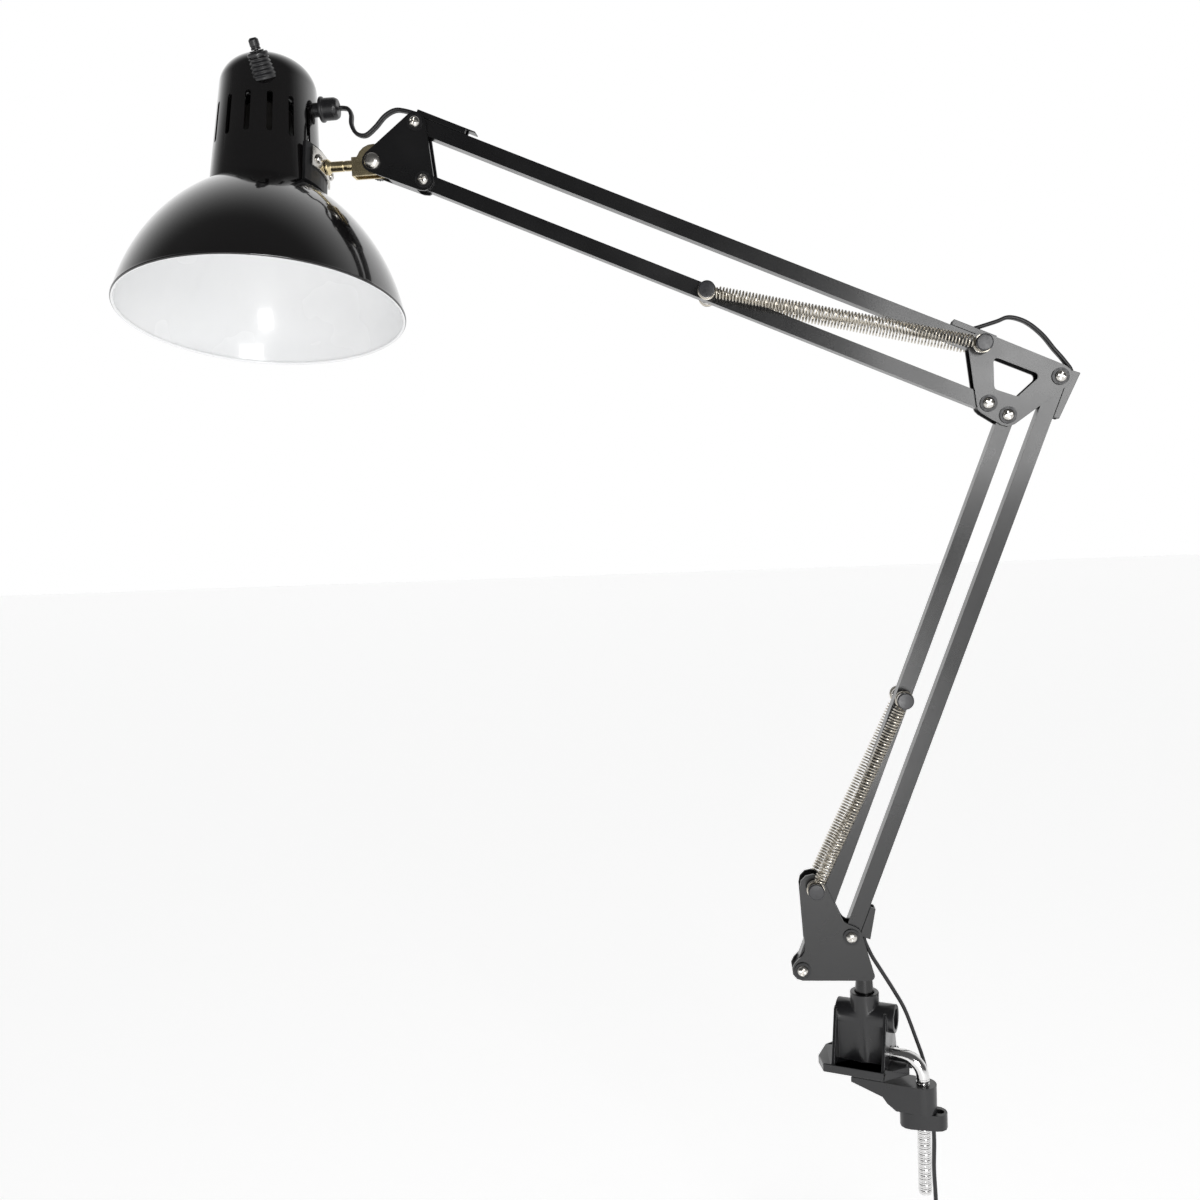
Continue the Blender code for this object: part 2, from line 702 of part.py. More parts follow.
def build_base(body):
    corner = Vector((3.2 * MM, BRACKET_BOTTOM + 3 * MM))
    lobe = BASE_STUD + Vector((-1.8, 0.5)) * MM
    outline = belt([
        (BASE_LEFT, LOBE), (corner, 3 * MM), (BASE_RIGHT, 7 * MM), (BASE_RIGHT + Vector((0.5, 14.2)) * MM, -6.5 * MM),
        (lobe, 8 * MM), (BASE_LEFT + Vector((-5.2, 14.4)) * MM, -7 * MM),
    ])
    bottom = BRACKET_BOTTOM
    web = notch(Vector((BASE_LEFT.x, bottom)), Vector((corner.x, bottom)), 0.0, 0.0, -SHEET)
    bracket = folded("base_bracket", outline, web,
                     [(BASE_LEFT, PIVOT_SHANK), (BASE_RIGHT, PIVOT_SHANK), (BASE_STUD, POST_SHANK)], body)
    cut(bracket, cylinder("rivet_hole", RIVET_RADIUS + GAP, (0, 0, bottom - 5 * MM), (0, 0, bottom + 5 * MM), body, None))
    shoulder = bottom - GAP
    above = bottom + SHEET + GAP
    turned("swivel_stem", [
        (0.0, above + 2 * MM), (0.6 * RIVET_HEAD, above + 1.8 * MM), (RIVET_HEAD, above + 0.6 * MM), (RIVET_HEAD, above),
        (RIVET_RADIUS, above), (RIVET_RADIUS, shoulder), (STEM_SHOULDER, shoulder), (STEM_RADIUS, COLLAR_TOP),
        (STEM_RADIUS, BORE_FLOOR + 1.3 * MM), (STEM_RADIUS - 1 * MM, BORE_FLOOR + GAP), (0.0, BORE_FLOOR + GAP),
    ], body, black_paint(), steps=20)
    pivot_screw("base_left_screw", BASE_LEFT, body)
    pivot_screw("base_right_screw", BASE_RIGHT, body)
    spring_stud("base_spring_stud_front", BASE_STUD, -1.0, body)
    spring_stud("base_spring_stud_back", BASE_STUD, 1.0, body)


# --- lower arm ---

BASE_CLIP = (2 * MM, 22 * MM)
ELBOW_CLIP_LOWER = (LOWER_ARM_LENGTH - 24 * MM, LOWER_ARM_LENGTH + 6 * MM)
ELBOW_CLIP_UPPER = (-7 * MM, 21 * MM)
HEAD_CLIP = (UPPER_ARM_LENGTH - 32 * MM, UPPER_ARM_LENGTH + 2 * MM)
SLOT_IN = 18 * MM


def build_lower_right(body):
    slots = [(BASE_CLIP[0] + 4 * MM, BASE_CLIP[0] + 4 * MM + SLOT_IN),
             (ELBOW_CLIP_LOWER[0] + 3 * MM, ELBOW_CLIP_LOWER[0] + 3 * MM + SLOT_IN)]
    bar("lower_arm_right_bar", BASE_RIGHT, LOWER_ARM_ANGLE, LOWER_ARM_LENGTH,
        [(0.0, PIVOT_SHANK), (LOWER_ARM_LENGTH, PIVOT_SHANK)], slots, body)
    cord_clip("elbow_cord_clip_lower", BASE_RIGHT, LOWER_ARM_ANGLE,
              *clip_outlines(*ELBOW_CLIP_LOWER, end_flare=2.4 * MM), body)
    cord_clip("base_cord_clip", BASE_RIGHT, LOWER_ARM_ANGLE, *clip_outlines(*BASE_CLIP, start_flare=3.6 * MM), body)


def build_lower_left(body):
    bar("lower_arm_left_bar", BASE_LEFT, LOWER_ARM_ANGLE, LOWER_ARM_LENGTH,
        [(0.0, PIVOT_SHANK), (LOWER_ARM_LENGTH, PIVOT_SHANK), (LOWER_POST_AT, POST_SHANK)], [], body)
    post = BASE_LEFT + LOWER_POST_AT * in_direction(LOWER_ARM_ANGLE)
    spring_post("lower_spring_post", post, body)
    spring("lower_spring_front", BASE_STUD, post, -1.0, body)
    spring("lower_spring_back", BASE_STUD, post, 1.0, body)


# --- elbow ---


def build_elbow(body):
    outline = belt([(ELBOW_LEFT, 7 * MM), (ELBOW_LOW, 7 * MM), (ELBOW_RIGHT, 7.2 * MM), (ELBOW_TOP, 7.5 * MM)])
    web = notch(ELBOW_RIGHT, ELBOW_TOP, 9.6 * MM, 9.4 * MM, 5.8 * MM)
    corners = [
        ELBOW_TOP + Vector((9.8, -25.6)) * MM, ELBOW_TOP + Vector((20.8, -29.8)) * MM,
        ELBOW_RIGHT + Vector((-15.4, 0.8)) * MM, ELBOW_TOP + Vector((9.6, -11.1)) * MM,
    ]
    window = belt([(corner, 2.5 * MM) for corner in corners], step=30)
    folded("elbow_bracket", outline, web, [
        (ELBOW_LEFT, PIVOT_SHANK), (ELBOW_LOW, PIVOT_SHANK), (ELBOW_RIGHT, PIVOT_SHANK), (ELBOW_TOP, POST_SHANK),
    ], body, [window])
    pivot_screw("elbow_right_screw", ELBOW_RIGHT, body)
    pivot_screw("elbow_low_screw", ELBOW_LOW, body)
    pivot_screw("elbow_left_screw", ELBOW_LEFT, body)
    spring_post("elbow_spring_post", ELBOW_TOP, body)


# --- upper arm ---


def build_upper_top(body):
    slots = [(7 * MM, 9 * MM + SLOT_IN), (HEAD_CLIP[0] + 2 * MM, HEAD_CLIP[0] + 2 * MM + SLOT_IN)]
    bar("upper_arm_upper_bar", ELBOW_TOP, UPPER_ARM_ANGLE, UPPER_ARM_LENGTH,
        [(0.0, POST_SHANK), (UPPER_ARM_LENGTH, PIVOT_SHANK)], slots, body)
    cord_clip("head_cord_clip", ELBOW_TOP, UPPER_ARM_ANGLE, *clip_outlines(*HEAD_CLIP, tongue=6 * MM), body)
    cord_clip("elbow_cord_clip_upper", ELBOW_TOP, UPPER_ARM_ANGLE,
              *clip_outlines(*ELBOW_CLIP_UPPER, open_length=19 * MM), body)


def build_upper_low(body):
    bar("upper_arm_lower_bar", ELBOW_LEFT, UPPER_ARM_ANGLE, UPPER_ARM_LENGTH,
        [(0.0, PIVOT_SHANK), (UPPER_ARM_LENGTH, PIVOT_SHANK), (UPPER_POST_AT, POST_SHANK)], [], body)
    post = ELBOW_LEFT + UPPER_POST_AT * in_direction(UPPER_ARM_ANGLE)
    spring_post("upper_spring_post", post, body)
    spring("upper_spring_front", ELBOW_TOP, post, -1.0, body)
    spring("upper_spring_back", ELBOW_TOP, post, 1.0, body)


# --- head ---


def build_head_bracket(body):
    outline = belt([(TILT, LOBE), (HEAD_LOW, LOBE), (HEAD_TOP, LOBE)])
    web = notch(TILT, HEAD_LOW, 13.5 * MM, 2.5 * MM, LOBE - SHEET)
    folded("head_bracket", outline, web,
           [(TILT, TILT_SHANK), (HEAD_LOW, PIVOT_SHANK), (HEAD_TOP, PIVOT_SHANK)], body)
    pivot_screw("head_top_screw", HEAD_TOP, body)
    pivot_screw("head_low_screw", HEAD_LOW, body)
    back = OUTER_FACE + GAP
    end = back + TILT_KNOB_HEIGHT + 1 * MM
    turned("tilt_screw", [
        (0.0, end), (TILT_SHANK, end), (TILT_SHANK, -back), (TILT_HEAD, -back), (TILT_HEAD, -back - 0.8 * MM),
        (0.85 * TILT_HEAD, -back - 1.9 * MM), (0.5 * TILT_HEAD, -back - 2.6 * MM), (0.0, -back - 2.8 * MM),
    ], body, bright_nickel(), in_space(TILT), (0.0, 1.0, 0.0), 16)
    top = back + TILT_KNOB_HEIGHT
    turned("tilt_nut", [
        (TILT_SHANK + GAP, top), (TILT_KNOB - 1 * MM, top), (TILT_KNOB, top - 1 * MM), (TILT_KNOB, back + 1 * MM),
        (TILT_KNOB - 1 * MM, back), (TILT_SHANK + GAP, back),
    ], body, dark_plastic(), in_space(TILT), (0.0, 1.0, 0.0), 16, ring=True)


def build_fork(body):
    low, high = -8 * MM, 4 * MM
    turn = math.degrees(math.asin(low / FORK_RADIUS))
    top = 180 - math.degrees(math.asin(high / FORK_RADIUS))
    outline = arc(TILT, FORK_RADIUS, turn, top, 11)
    outline += [TILT + Vector((-FORK_OUT, high)), TILT + Vector((-FORK_OUT, low))]
    hole = circle(TILT, TILT_SHANK + GAP)
    fork = flat("tilt_fork", [outline, hole], 2 * FORK_FACE, 0.0, body, brass())
    left = TILT.x - FORK_OUT + FORK_SHEET
    width = FORK_FACE - FORK_SHEET
    inside = box("tilt_fork_inside", (left, -width, TILT.y - 30 * MM), (left + 60 * MM, width, TILT.y + 30 * MM), body, None)
    spigot = cylinder("tilt_fork_spigot_hole", SPIGOT_RADIUS + GAP, (TILT.x - 30 * MM, 0, TILT.y), (TILT.x, 0, TILT.y),
                      body, None, 16)
    cut(fork, inside, spigot)


def rim_to_top():
    """The shade's outer profile as (radius, height above the rim), from its neck's edge down to the rim."""
    low = math.radians(SHADE_RIM_TURN)
    centre = (SHADE_RADIUS - SHADE_ARC * math.cos(low), -SHADE_ARC * math.sin(low))
    bowl = arc(centre, SHADE_ARC, SHADE_ARC_TURN, SHADE_RIM_TURN, 6)
    return [Vector((NECK_OPENING, SHADE_HEIGHT)), Vector((NECK_RADIUS, SHADE_HEIGHT))] + bowl


def inset(profile, distance):
    """The profile moved inwards, to the right of its way round, by this distance."""
    moved = []
    for index, point in enumerate(profile):
        before = profile[max(index - 1, 0)]
        after = profile[min(index + 1, len(profile) - 1)]
        turns = []
        for first, second in ((before, point), (point, after)):
            if (second - first).length > FINE:
                ahead = (second - first).normalized()
                turns.append(Vector((ahead.y, -ahead.x)))
        middle = sum(turns, Vector((0.0, 0.0))).normalized()
        moved.append(point + distance / middle.dot(turns[0]) * middle)
    return moved


def build_shade(axes):
    outer = rim_to_top()
    inner = inset(outer, SHADE_WALL)
    bead = Vector((SHADE_RADIUS - SHADE_WALL / 2, RIM_BEAD))
    rolled = arc(bead, RIM_BEAD, 60, -240, 4)
    profile = outer[:-1] + rolled + inner[-2::-1]
    down = SHAFT_ABOVE_RIM
    turned("shade", [(radius, height - down) for radius, height in profile], axes, black_paint(), steps=32, ring=True)


def cap_radius_at(height):
    base = SHADE_HEIGHT - SHAFT_ABOVE_RIM
    return CAP_RADIUS + (CAP_TOP_RADIUS - CAP_RADIUS) * (height - base) / (CAP_STRAIGHT - base)


def build_cap(axes):
    base = SHADE_HEIGHT - SHAFT_ABOVE_RIM + GAP
    centre = (CAP_TOP_RADIUS - CAP_FILLET, CAP_STRAIGHT)
    profile = [Vector((0.0, CAP_STRAIGHT + CAP_FILLET))] + arc(centre, CAP_FILLET, 90, 0, 4)
    inner = [Vector((0.0, CAP_STRAIGHT + CAP_FILLET - CAP_WALL))] + arc(centre, CAP_FILLET - CAP_WALL, 90, 0, 4)
    profile += [Vector((CAP_RADIUS, base)), Vector((CAP_RADIUS - CAP_WALL, base))] + inner[::-1]
    cap = turned("switch_housing", profile, axes, black_paint(), steps=30)
    shape = bmesh.new()
    for number in range(SLOTS):
        turn = math.radians(360 * number / SLOTS - 90)
        if abs(math.sin(turn)) * CAP_RADIUS < BUSHING_RADIUS and math.cos(turn) > 0:
            continue
        size = Matrix.Diagonal((14 * MM, SLOT_WIDTH, SLOT_HIGH - SLOT_LOW, 1.0))
        place = Matrix.Translation((CAP_RADIUS, 0.0, (SLOT_LOW + SLOT_HIGH) / 2))
        bmesh.ops.create_cube(shape, size=1.0, matrix=Matrix.Rotation(turn, 4, "Z") @ place @ size)
    slots = mesh_object("switch_housing_slots", mesh_from(shape, "switch_housing_slots"), axes, None)
    aim_switch = SWITCH_AIM.normalized()
    boss = cylinder("switch_boss", SWITCH_BOSS, SWITCH_AT - 18 * MM * aim_switch, SWITCH_AT, axes, None, 20)
    hole = cylinder("switch_hole", SWITCH_BUSH + GAP, SWITCH_AT - 30 * MM * aim_switch, SWITCH_AT + 5 * MM * aim_switch,
                    axes, None)
    cut(cap, slots)
    join(cap, boss)
    bush = cylinder("bushing_hole", BUSHING_RADIUS - 2.2 * MM, (0.5 * CAP_RADIUS, 0, BUSHING_HEIGHT),
                    (60 * MM, 0, BUSHING_HEIGHT), axes, None)
    cut(cap, hole, bush)
    through = cylinder("shaft_hole", SPIGOT_RADIUS + GAP, (0.5 * CAP_RADIUS, 0, 0), (60 * MM, 0, 0), axes, None, 20)
    cut(cap, through)
    for label, side in (("front", -1.0), ("back", 1.0)):
        start, end = saddle_line(side, 0.5 * CAP_RADIUS, 60 * MM)
        cut(cap, cylinder("saddle_hole_" + label, 1.5 * MM + GAP, start, end, axes, None, 12))


def pad_inner():
    return cap_radius_at(SHADE_HEIGHT - SHAFT_ABOVE_RIM) + GAP


def plate_inner():
    return pad_inner() + PAD_THICKNESS + GAP


def saddle_line(side, near, far):
    """Two points on a saddle screw's axis, at these distances from the cap's."""
    turn = side * math.asin(SADDLE_SCREW_Y / plate_inner())
    ahead = Vector((math.cos(turn), math.sin(turn), 0.0))
    return ahead * near, ahead * far


def band(name, inner, thickness, half_length, low, high, axes, surface):
    """A strap bent round the cap, facing +X."""
    turn = math.degrees(math.asin(half_length / inner))
    outline = arc((0.0, 0.0), inner + thickness, -turn, turn, 8) + arc((0.0, 0.0), inner, turn, -turn, 8)
    return flat(name, [outline], high - low, (low + high) / 2, axes, surface, lying=True)


def build_saddle(axes):
    low = SHADE_HEIGHT - SHAFT_ABOVE_RIM + 1 * MM
    length = SADDLE_HALF_LENGTH
    pad = band("saddle_pad", pad_inner(), PAD_THICKNESS, length + 2 * MM, low, 9 * MM, axes, black_plastic())
    plate = band("saddle_plate", plate_inner(), SADDLE_THICKNESS, length, -SADDLE_HALF_HEIGHT, SADDLE_HALF_HEIGHT,
                 axes, bright_nickel())
    outside = plate_inner() + SADDLE_THICKNESS + GAP
    for label, side in (("front", -1.0), ("back", 1.0)):
        start, end = saddle_line(side, 0.5 * CAP_RADIUS, 60 * MM)
        name = "saddle_screw_" + label
        cut(pad, cylinder(name + "_pad_hole", 1.5 * MM + GAP, start, end, axes, None, 12))
        cut(plate, cylinder(name + "_plate_hole", 1.5 * MM + GAP, start, end, axes, None, 12))
        inside = cap_radius_at(0.0) - CAP_WALL - 3 * MM
        turned(name, [
            (0.0, outside + 2.2 * MM), (1.8 * MM, outside + 2.0 * MM), (3 * MM, outside + 1.0 * MM), (3 * MM, outside + 0.3 * MM),
            (1.5 * MM, outside + 0.3 * MM), (1.5 * MM, inside), (0.0, inside),
        ], axes, bright_nickel(), direction=end, steps=12)
    middle = cylinder("saddle_shaft_hole", SPIGOT_RADIUS + GAP, (0.5 * CAP_RADIUS, 0, 0), (60 * MM, 0, 0), axes, None, 20)
    cut(pad, middle)
    cut(plate, middle)
    web = HEAD_REACH - FORK_OUT
    washer = cap_radius_at(0.0) - CAP_WALL - 0.8 * MM
    turned("head_shaft", [
        (0.0, web + FORK_SHEET + 2.3 * MM), (3 * MM, web + FORK_SHEET + 2.0 * MM), (3 * MM, web + FORK_SHEET + GAP),
        (SPIGOT_RADIUS, web + FORK_SHEET + GAP), (SPIGOT_RADIUS, web - GAP), (SHAFT_RADIUS, web - GAP),
        (SHAFT_RADIUS, outside + 3 * MM), (5 * MM, outside + 1 * MM), (5 * MM, outside + 0.2 * MM),
        (SPIGOT_RADIUS, outside + 0.2 * MM), (SPIGOT_RADIUS, washer), (3.5 * MM, washer), (3.5 * MM, washer - 2 * MM),
        (0.0, washer - 2 * MM),
    ], axes, brass(), direction=(1.0, 0.0, 0.0), steps=16)


def build_fittings(axes):
    wall = cap_radius_at(BUSHING_HEIGHT)
    face = cap_radius_at(BUSHING_HEIGHT - BUSHING_RADIUS - 1 * MM) + GAP
    end = BUSHING_END
    turned("cord_bushing", [
        (0.0, end), (BUSHING_RADIUS, end), (BUSHING_RADIUS, face + 2.5 * MM), (BUSHING_RADIUS + 1 * MM, face + 2 * MM),
        (BUSHING_RADIUS + 1 * MM, face), (BUSHING_RADIUS - 2.5 * MM, face), (BUSHING_RADIUS - 2.5 * MM, wall - 4 * MM),
        (0.0, wall - 4 * MM),
    ], axes, dark_plastic(), (0.0, 0.0, BUSHING_HEIGHT), (1.0, 0.0, 0.0), 20)
    floor = SHADE_HEIGHT - SHAFT_ABOVE_RIM
    top, bottom, bore = 42 * MM, floor - 8 * MM, SHELL_RADIUS + GAP
    flange = NECK_OPENING + 3 * MM
    turned("socket_body", [
        (0.0, top), (SOCKET_BODY - 3 * MM, top), (SOCKET_BODY, top - 3 * MM), (SOCKET_BODY, floor + 2 * MM),
        (flange, floor + 2 * MM), (flange, floor + GAP), (SOCKET_BODY, floor + GAP), (SOCKET_BODY, bottom),
        (bore, bottom), (bore, top - 5 * MM), (0.0, top - 5 * MM),
    ], axes, dark_plastic(), steps=24)
    shell_top, shell_low = top - 5 * MM - GAP, bottom + 3 * MM
    inner = SHELL_RADIUS - SHELL_WALL
    turned("screw_shell", [
        (0.0, shell_top), (SHELL_RADIUS, shell_top), (SHELL_RADIUS, shell_low), (inner, shell_low),
        (inner, shell_top - SHELL_WALL), (0.0, shell_top - SHELL_WALL),
    ], axes, brass(), steps=24)


def build_switch(axes, knob):
    ahead = SWITCH_AIM.normalized()
    nut = 2.4 * MM
    top = GAP + nut + 1 * MM
    bore = 1.6 * MM
    turned("switch_body", [
        (0.0, -6 * MM), (bore, -6 * MM), (bore, top), (SWITCH_BUSH, top), (SWITCH_BUSH, -15 * MM), (0.0, -15 * MM),
    ], axes, black_plastic(), SWITCH_AT, ahead, 16)
    turned("switch_nut", [
        (SWITCH_BUSH + GAP, GAP + nut), (SWITCH_NUT - 0.6 * MM, GAP + nut), (SWITCH_NUT, GAP + nut - 0.6 * MM),
        (SWITCH_NUT, GAP), (SWITCH_BUSH + GAP, GAP),
    ], axes, black_plastic(), SWITCH_AT, ahead, 18, ring=True)
    low = top + GAP
    high = low + SWITCH_KNOB_LENGTH
    pin = bore - GAP
    turned("switch_knob", [
        (0.0, high), (0.6 * SWITCH_KNOB, high), (SWITCH_KNOB, high - 1.2 * MM), (SWITCH_KNOB, low), (pin, low),
        (pin, -5.5 * MM), (0.0, -5.5 * MM),
    ], knob, black_plastic(), steps=16)


# --- cord ---


def build_cords(head, fork, top_bar, elbow, right_bar, base, clamp):
    def at(x, z, y=0.0):
        return Vector((x, y, z)) * MM

    def on_top(along, out):
        return on_bar(ELBOW_TOP, UPPER_ARM_ANGLE, along, out)

    def on_right(along, out):
        return on_bar(BASE_RIGHT, LOWER_ARM_ANGLE, along, out)

    lean = math.radians(HEAD_LEAN)
    bushing = Vector((TILT.x - HEAD_REACH + BUSHING_END + 0.6 * MM, math.sin(lean) * BUSHING_HEIGHT,
                      TILT.y + math.cos(lean) * BUSHING_HEIGHT))
    head_slot = HEAD_CLIP[0] + 2 * MM
    elbow_slot = ELBOW_CLIP_LOWER[0] + 3 * MM
    fine, coarse = 2 * CORD_THICKNESS, 2 * CORD_WIDTH
    cord_run([
        ("head_cord_a", head, fine, [
            bushing, bushing + at(3.4, -0.3), at(-312.6, 629.7, 6.6), at(-310.6, 625.2, 4.4), at(-310.0, 618.6, 2.0),
            at(-306.6, 612.4, 0.4), at(-300.5, 610.6),
        ]),
        ("head_cord_b", fork, fine, [at(-293.8, 615.2), at(-287.3, 621.6), at(-280.6, 624.7), at(-274.3, 624.0)]),
        ("upper_arm_cord", top_bar, fine, [
            on_top(HEAD_CLIP[1], CORD_ON_BAR + 0.1 * MM), on_top(HEAD_CLIP[1] - 10 * MM, CORD_ON_BAR),
            on_top(head_slot + 12 * MM, CORD_ON_BAR - 1.0 * MM), on_top(head_slot + 4 * MM, 1.8 * MM),
            on_top(head_slot - 8 * MM, 0.0), on_top(head_slot - 20 * MM, 0.0), on_top(0.5 * UPPER_ARM_LENGTH, 0.0),
            on_top(44 * MM, 0.0), on_top(32 * MM, 0.0), on_top(19 * MM, 1.4 * MM), on_top(12.5 * MM, 4.4 * MM),
            on_top(7.0 * MM, 8.6 * MM), on_top(2.5 * MM, 12.2 * MM),
        ]),
        ("elbow_cord_a", elbow, fine, [at(90.2, 471.2), at(96.5, 473.2), at(103.5, 471.6), at(109.9, 467.9)]),
        ("elbow_cord_b", elbow, fine, [
            at(117.2, 461.1), at(123.6, 452.6), at(129.4, 445.4), on_right(LOWER_ARM_LENGTH + 5.5 * MM, CORD_ON_BAR + 0.2 * MM),
        ]),
        ("lower_arm_cord", right_bar, fine, [
            on_right(LOWER_ARM_LENGTH - 2 * MM, CORD_ON_BAR), on_right(elbow_slot + 12 * MM, CORD_ON_BAR - 1.0 * MM),
            on_right(elbow_slot + 4 * MM, 1.8 * MM), on_right(elbow_slot - 8 * MM, 0.0), on_right(elbow_slot - 20 * MM, 0.0),
            on_right(0.5 * LOWER_ARM_LENGTH, 0.0), on_right(45 * MM, 0.0), on_right(33 * MM, 0.0),
            on_right(20 * MM, 1.2 * MM), on_right(12 * MM, 4.6 * MM), on_right(4 * MM, 7.9 * MM), on_right(0.0, 9.4 * MM),
        ]),
        ("mains_cord_a", base, fine, [at(2.3, 79.0, 0.2), at(5.6, 71.6, 0.5), at(9.4, 65.0, 1.0), at(13.6, 57.8, 1.8)]),
        ("mains_cord_b", clamp, coarse, [
            at(19.2, 48.0, 3.0), at(25.9, 35.1, 4.0), at(32.2, 17.0, 5.0), at(37.3, 0.5, 5.5), at(40.8, -19.1, 6.0),
            at(42.6, -38.0, 6.4), at(43.2, -54.0, 6.8), at(42.8, -72.0, 7.2), at(43.6, -93.4, 7.6), at(44.0, -111.0, 7.6),
        ]),
    ])
    half = HANK_STRAIGHT / 2
    rings = []
    for radius in (HANK_OUTER, HANK_INNER):
        ends = [(Vector((HANK_CENTRE.x, HANK_CENTRE.z + half)), radius), (Vector((HANK_CENTRE.x, HANK_CENTRE.z - half)), radius)]
        rings.append(belt(ends))
    flat("cord_hank", rings, HANK_WIDTH, HANK_CENTRE.y, clamp, cord_jacket())
    tie_z = HANK_CENTRE.z + 20 * MM
    low_x = HANK_CENTRE.x - HANK_OUTER
    wrap, band_height = 1.2 * MM, 8 * MM
    outer_box = box("hank_tie", (low_x - GAP - wrap, HANK_CENTRE.y - HANK_WIDTH / 2 - GAP - wrap, tie_z),
                    (HANK_CENTRE.x + HANK_OUTER + GAP + wrap, HANK_CENTRE.y + HANK_WIDTH / 2 + GAP + wrap, tie_z + band_height),
                    clamp, dark_plastic())
    inner_box = box("hank_tie_inside", (low_x - GAP, HANK_CENTRE.y - HANK_WIDTH / 2 - GAP, tie_z - band_height),
                    (HANK_CENTRE.x + HANK_OUTER + GAP, HANK_CENTRE.y + HANK_WIDTH / 2 + GAP, tie_z + 2 * band_height),
                    clamp, None)
    cut(outer_box, inner_box)
    build_plug(clamp)


def build_plug(body):
    """Flat two-blade plug, hanging inside the hank's loop with its blades up."""
    x, y, z = HANK_CENTRE.x, HANK_CENTRE.y, HANK_CENTRE.z - 30 * MM
    outline = belt([
        (Vector((x - 5 * MM, z - 8 * MM)), 2 * MM), (Vector((x + 5 * MM, z - 8 * MM)), 2 * MM),
        (Vector((x + 8.5 * MM, z + 10 * MM)), 3 * MM), (Vector((x - 8.5 * MM, z + 10 * MM)), 3 * MM),
    ])
    plug = flat("plug", [outline], 12 * MM, y, body, black_plastic())
    for label, side in (("left", -1.0), ("right", 1.0)):
        blade_x = x + side * 6.35 * MM
        blade = box("plug_blade_" + label, (blade_x - 0.75 * MM, y - 3.2 * MM, z + 9 * MM),
                    (blade_x + 0.75 * MM, y + 3.2 * MM, z + 29 * MM), body, None)
        join(plug, blade)


def main():
    clear_scene()
    collection(PARTS, False)
    collection(CUTTERS, True)
    clamp = frame("clamp", (0.0, 0.0, 0.0))
    jaw = frame("jaw_slide", rod_place(), clamp)
    wing = frame("wing_nut_spin", rod_place(), jaw)
    base = frame("base_swivel", (0.0, 0.0, COLLAR_TOP), clamp)
    right = frame("lower_arm_swing", in_space(BASE_RIGHT), base)
    left = frame("lower_arm_left_swing", in_space(BASE_LEFT), base)
    elbow = frame("elbow_level", in_space(ELBOW_RIGHT), right)
    top = frame("upper_arm_swing", in_space(ELBOW_TOP), elbow)
    low = frame("upper_arm_lower_swing", in_space(ELBOW_LEFT), elbow)
    bracket = frame("head_level", in_space(HEAD_TOP), top)
    fork = frame("head_tilt", in_space(TILT), bracket)
    head = frame("head_roll", in_space(TILT - Vector((HEAD_REACH, 0.0))), fork)
    axes = frame("head_axes", in_space(TILT - Vector((HEAD_REACH, 0.0))), head, (math.radians(-HEAD_LEAN), 0.0, 0.0))
    knob = frame("switch_turn", SWITCH_AT, axes, aim(SWITCH_AIM))
    build_clamp(clamp)
    build_jaw(jaw)
    build_wing_nut(wing)
    build_base(base)
    build_lower_right(right)
    build_lower_left(left)
    build_elbow(elbow)
    build_upper_top(top)
    build_upper_low(low)
    build_head_bracket(bracket)
    build_fork(fork)
    build_shade(axes)
    build_cap(axes)
    build_saddle(axes)
    build_fittings(axes)
    build_switch(axes, knob)
    build_cords(head, fork, top, elbow, right, base, clamp)


main()
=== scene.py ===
"""Architect desk lamp: screw clamp, two spring-balanced arms and a tilting bowl shade, in its finishes."""

import json
import math

import bmesh
import bpy
from mathutils import Matrix, Vector

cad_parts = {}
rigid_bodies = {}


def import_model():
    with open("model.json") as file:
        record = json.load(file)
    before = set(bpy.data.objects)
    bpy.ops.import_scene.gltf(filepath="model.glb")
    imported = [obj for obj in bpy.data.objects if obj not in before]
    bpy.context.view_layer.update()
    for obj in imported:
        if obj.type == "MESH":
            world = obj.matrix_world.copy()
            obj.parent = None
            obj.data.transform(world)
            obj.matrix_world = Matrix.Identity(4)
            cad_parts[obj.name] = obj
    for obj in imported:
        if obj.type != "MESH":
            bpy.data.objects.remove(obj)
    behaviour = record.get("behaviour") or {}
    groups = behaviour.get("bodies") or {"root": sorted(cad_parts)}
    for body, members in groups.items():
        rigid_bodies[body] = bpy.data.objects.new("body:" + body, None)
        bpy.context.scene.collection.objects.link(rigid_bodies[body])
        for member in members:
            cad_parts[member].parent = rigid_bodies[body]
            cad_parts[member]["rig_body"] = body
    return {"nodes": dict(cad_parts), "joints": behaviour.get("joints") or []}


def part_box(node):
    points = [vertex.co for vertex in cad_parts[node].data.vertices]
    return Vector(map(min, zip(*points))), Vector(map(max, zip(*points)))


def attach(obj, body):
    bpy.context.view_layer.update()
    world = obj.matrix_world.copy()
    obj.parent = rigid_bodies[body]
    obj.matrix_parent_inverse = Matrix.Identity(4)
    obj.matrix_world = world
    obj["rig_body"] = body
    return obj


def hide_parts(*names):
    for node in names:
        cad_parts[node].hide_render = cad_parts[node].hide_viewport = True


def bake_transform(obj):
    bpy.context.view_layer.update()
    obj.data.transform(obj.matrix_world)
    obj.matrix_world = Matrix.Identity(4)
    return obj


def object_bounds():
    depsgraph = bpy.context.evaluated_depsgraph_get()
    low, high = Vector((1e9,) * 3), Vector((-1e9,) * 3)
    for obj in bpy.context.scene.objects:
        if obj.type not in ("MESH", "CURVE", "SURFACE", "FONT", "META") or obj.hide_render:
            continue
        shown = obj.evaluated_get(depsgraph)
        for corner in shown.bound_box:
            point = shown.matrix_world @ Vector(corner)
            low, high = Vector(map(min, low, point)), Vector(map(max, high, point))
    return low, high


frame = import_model()
cad_box = [list(corner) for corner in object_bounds()]

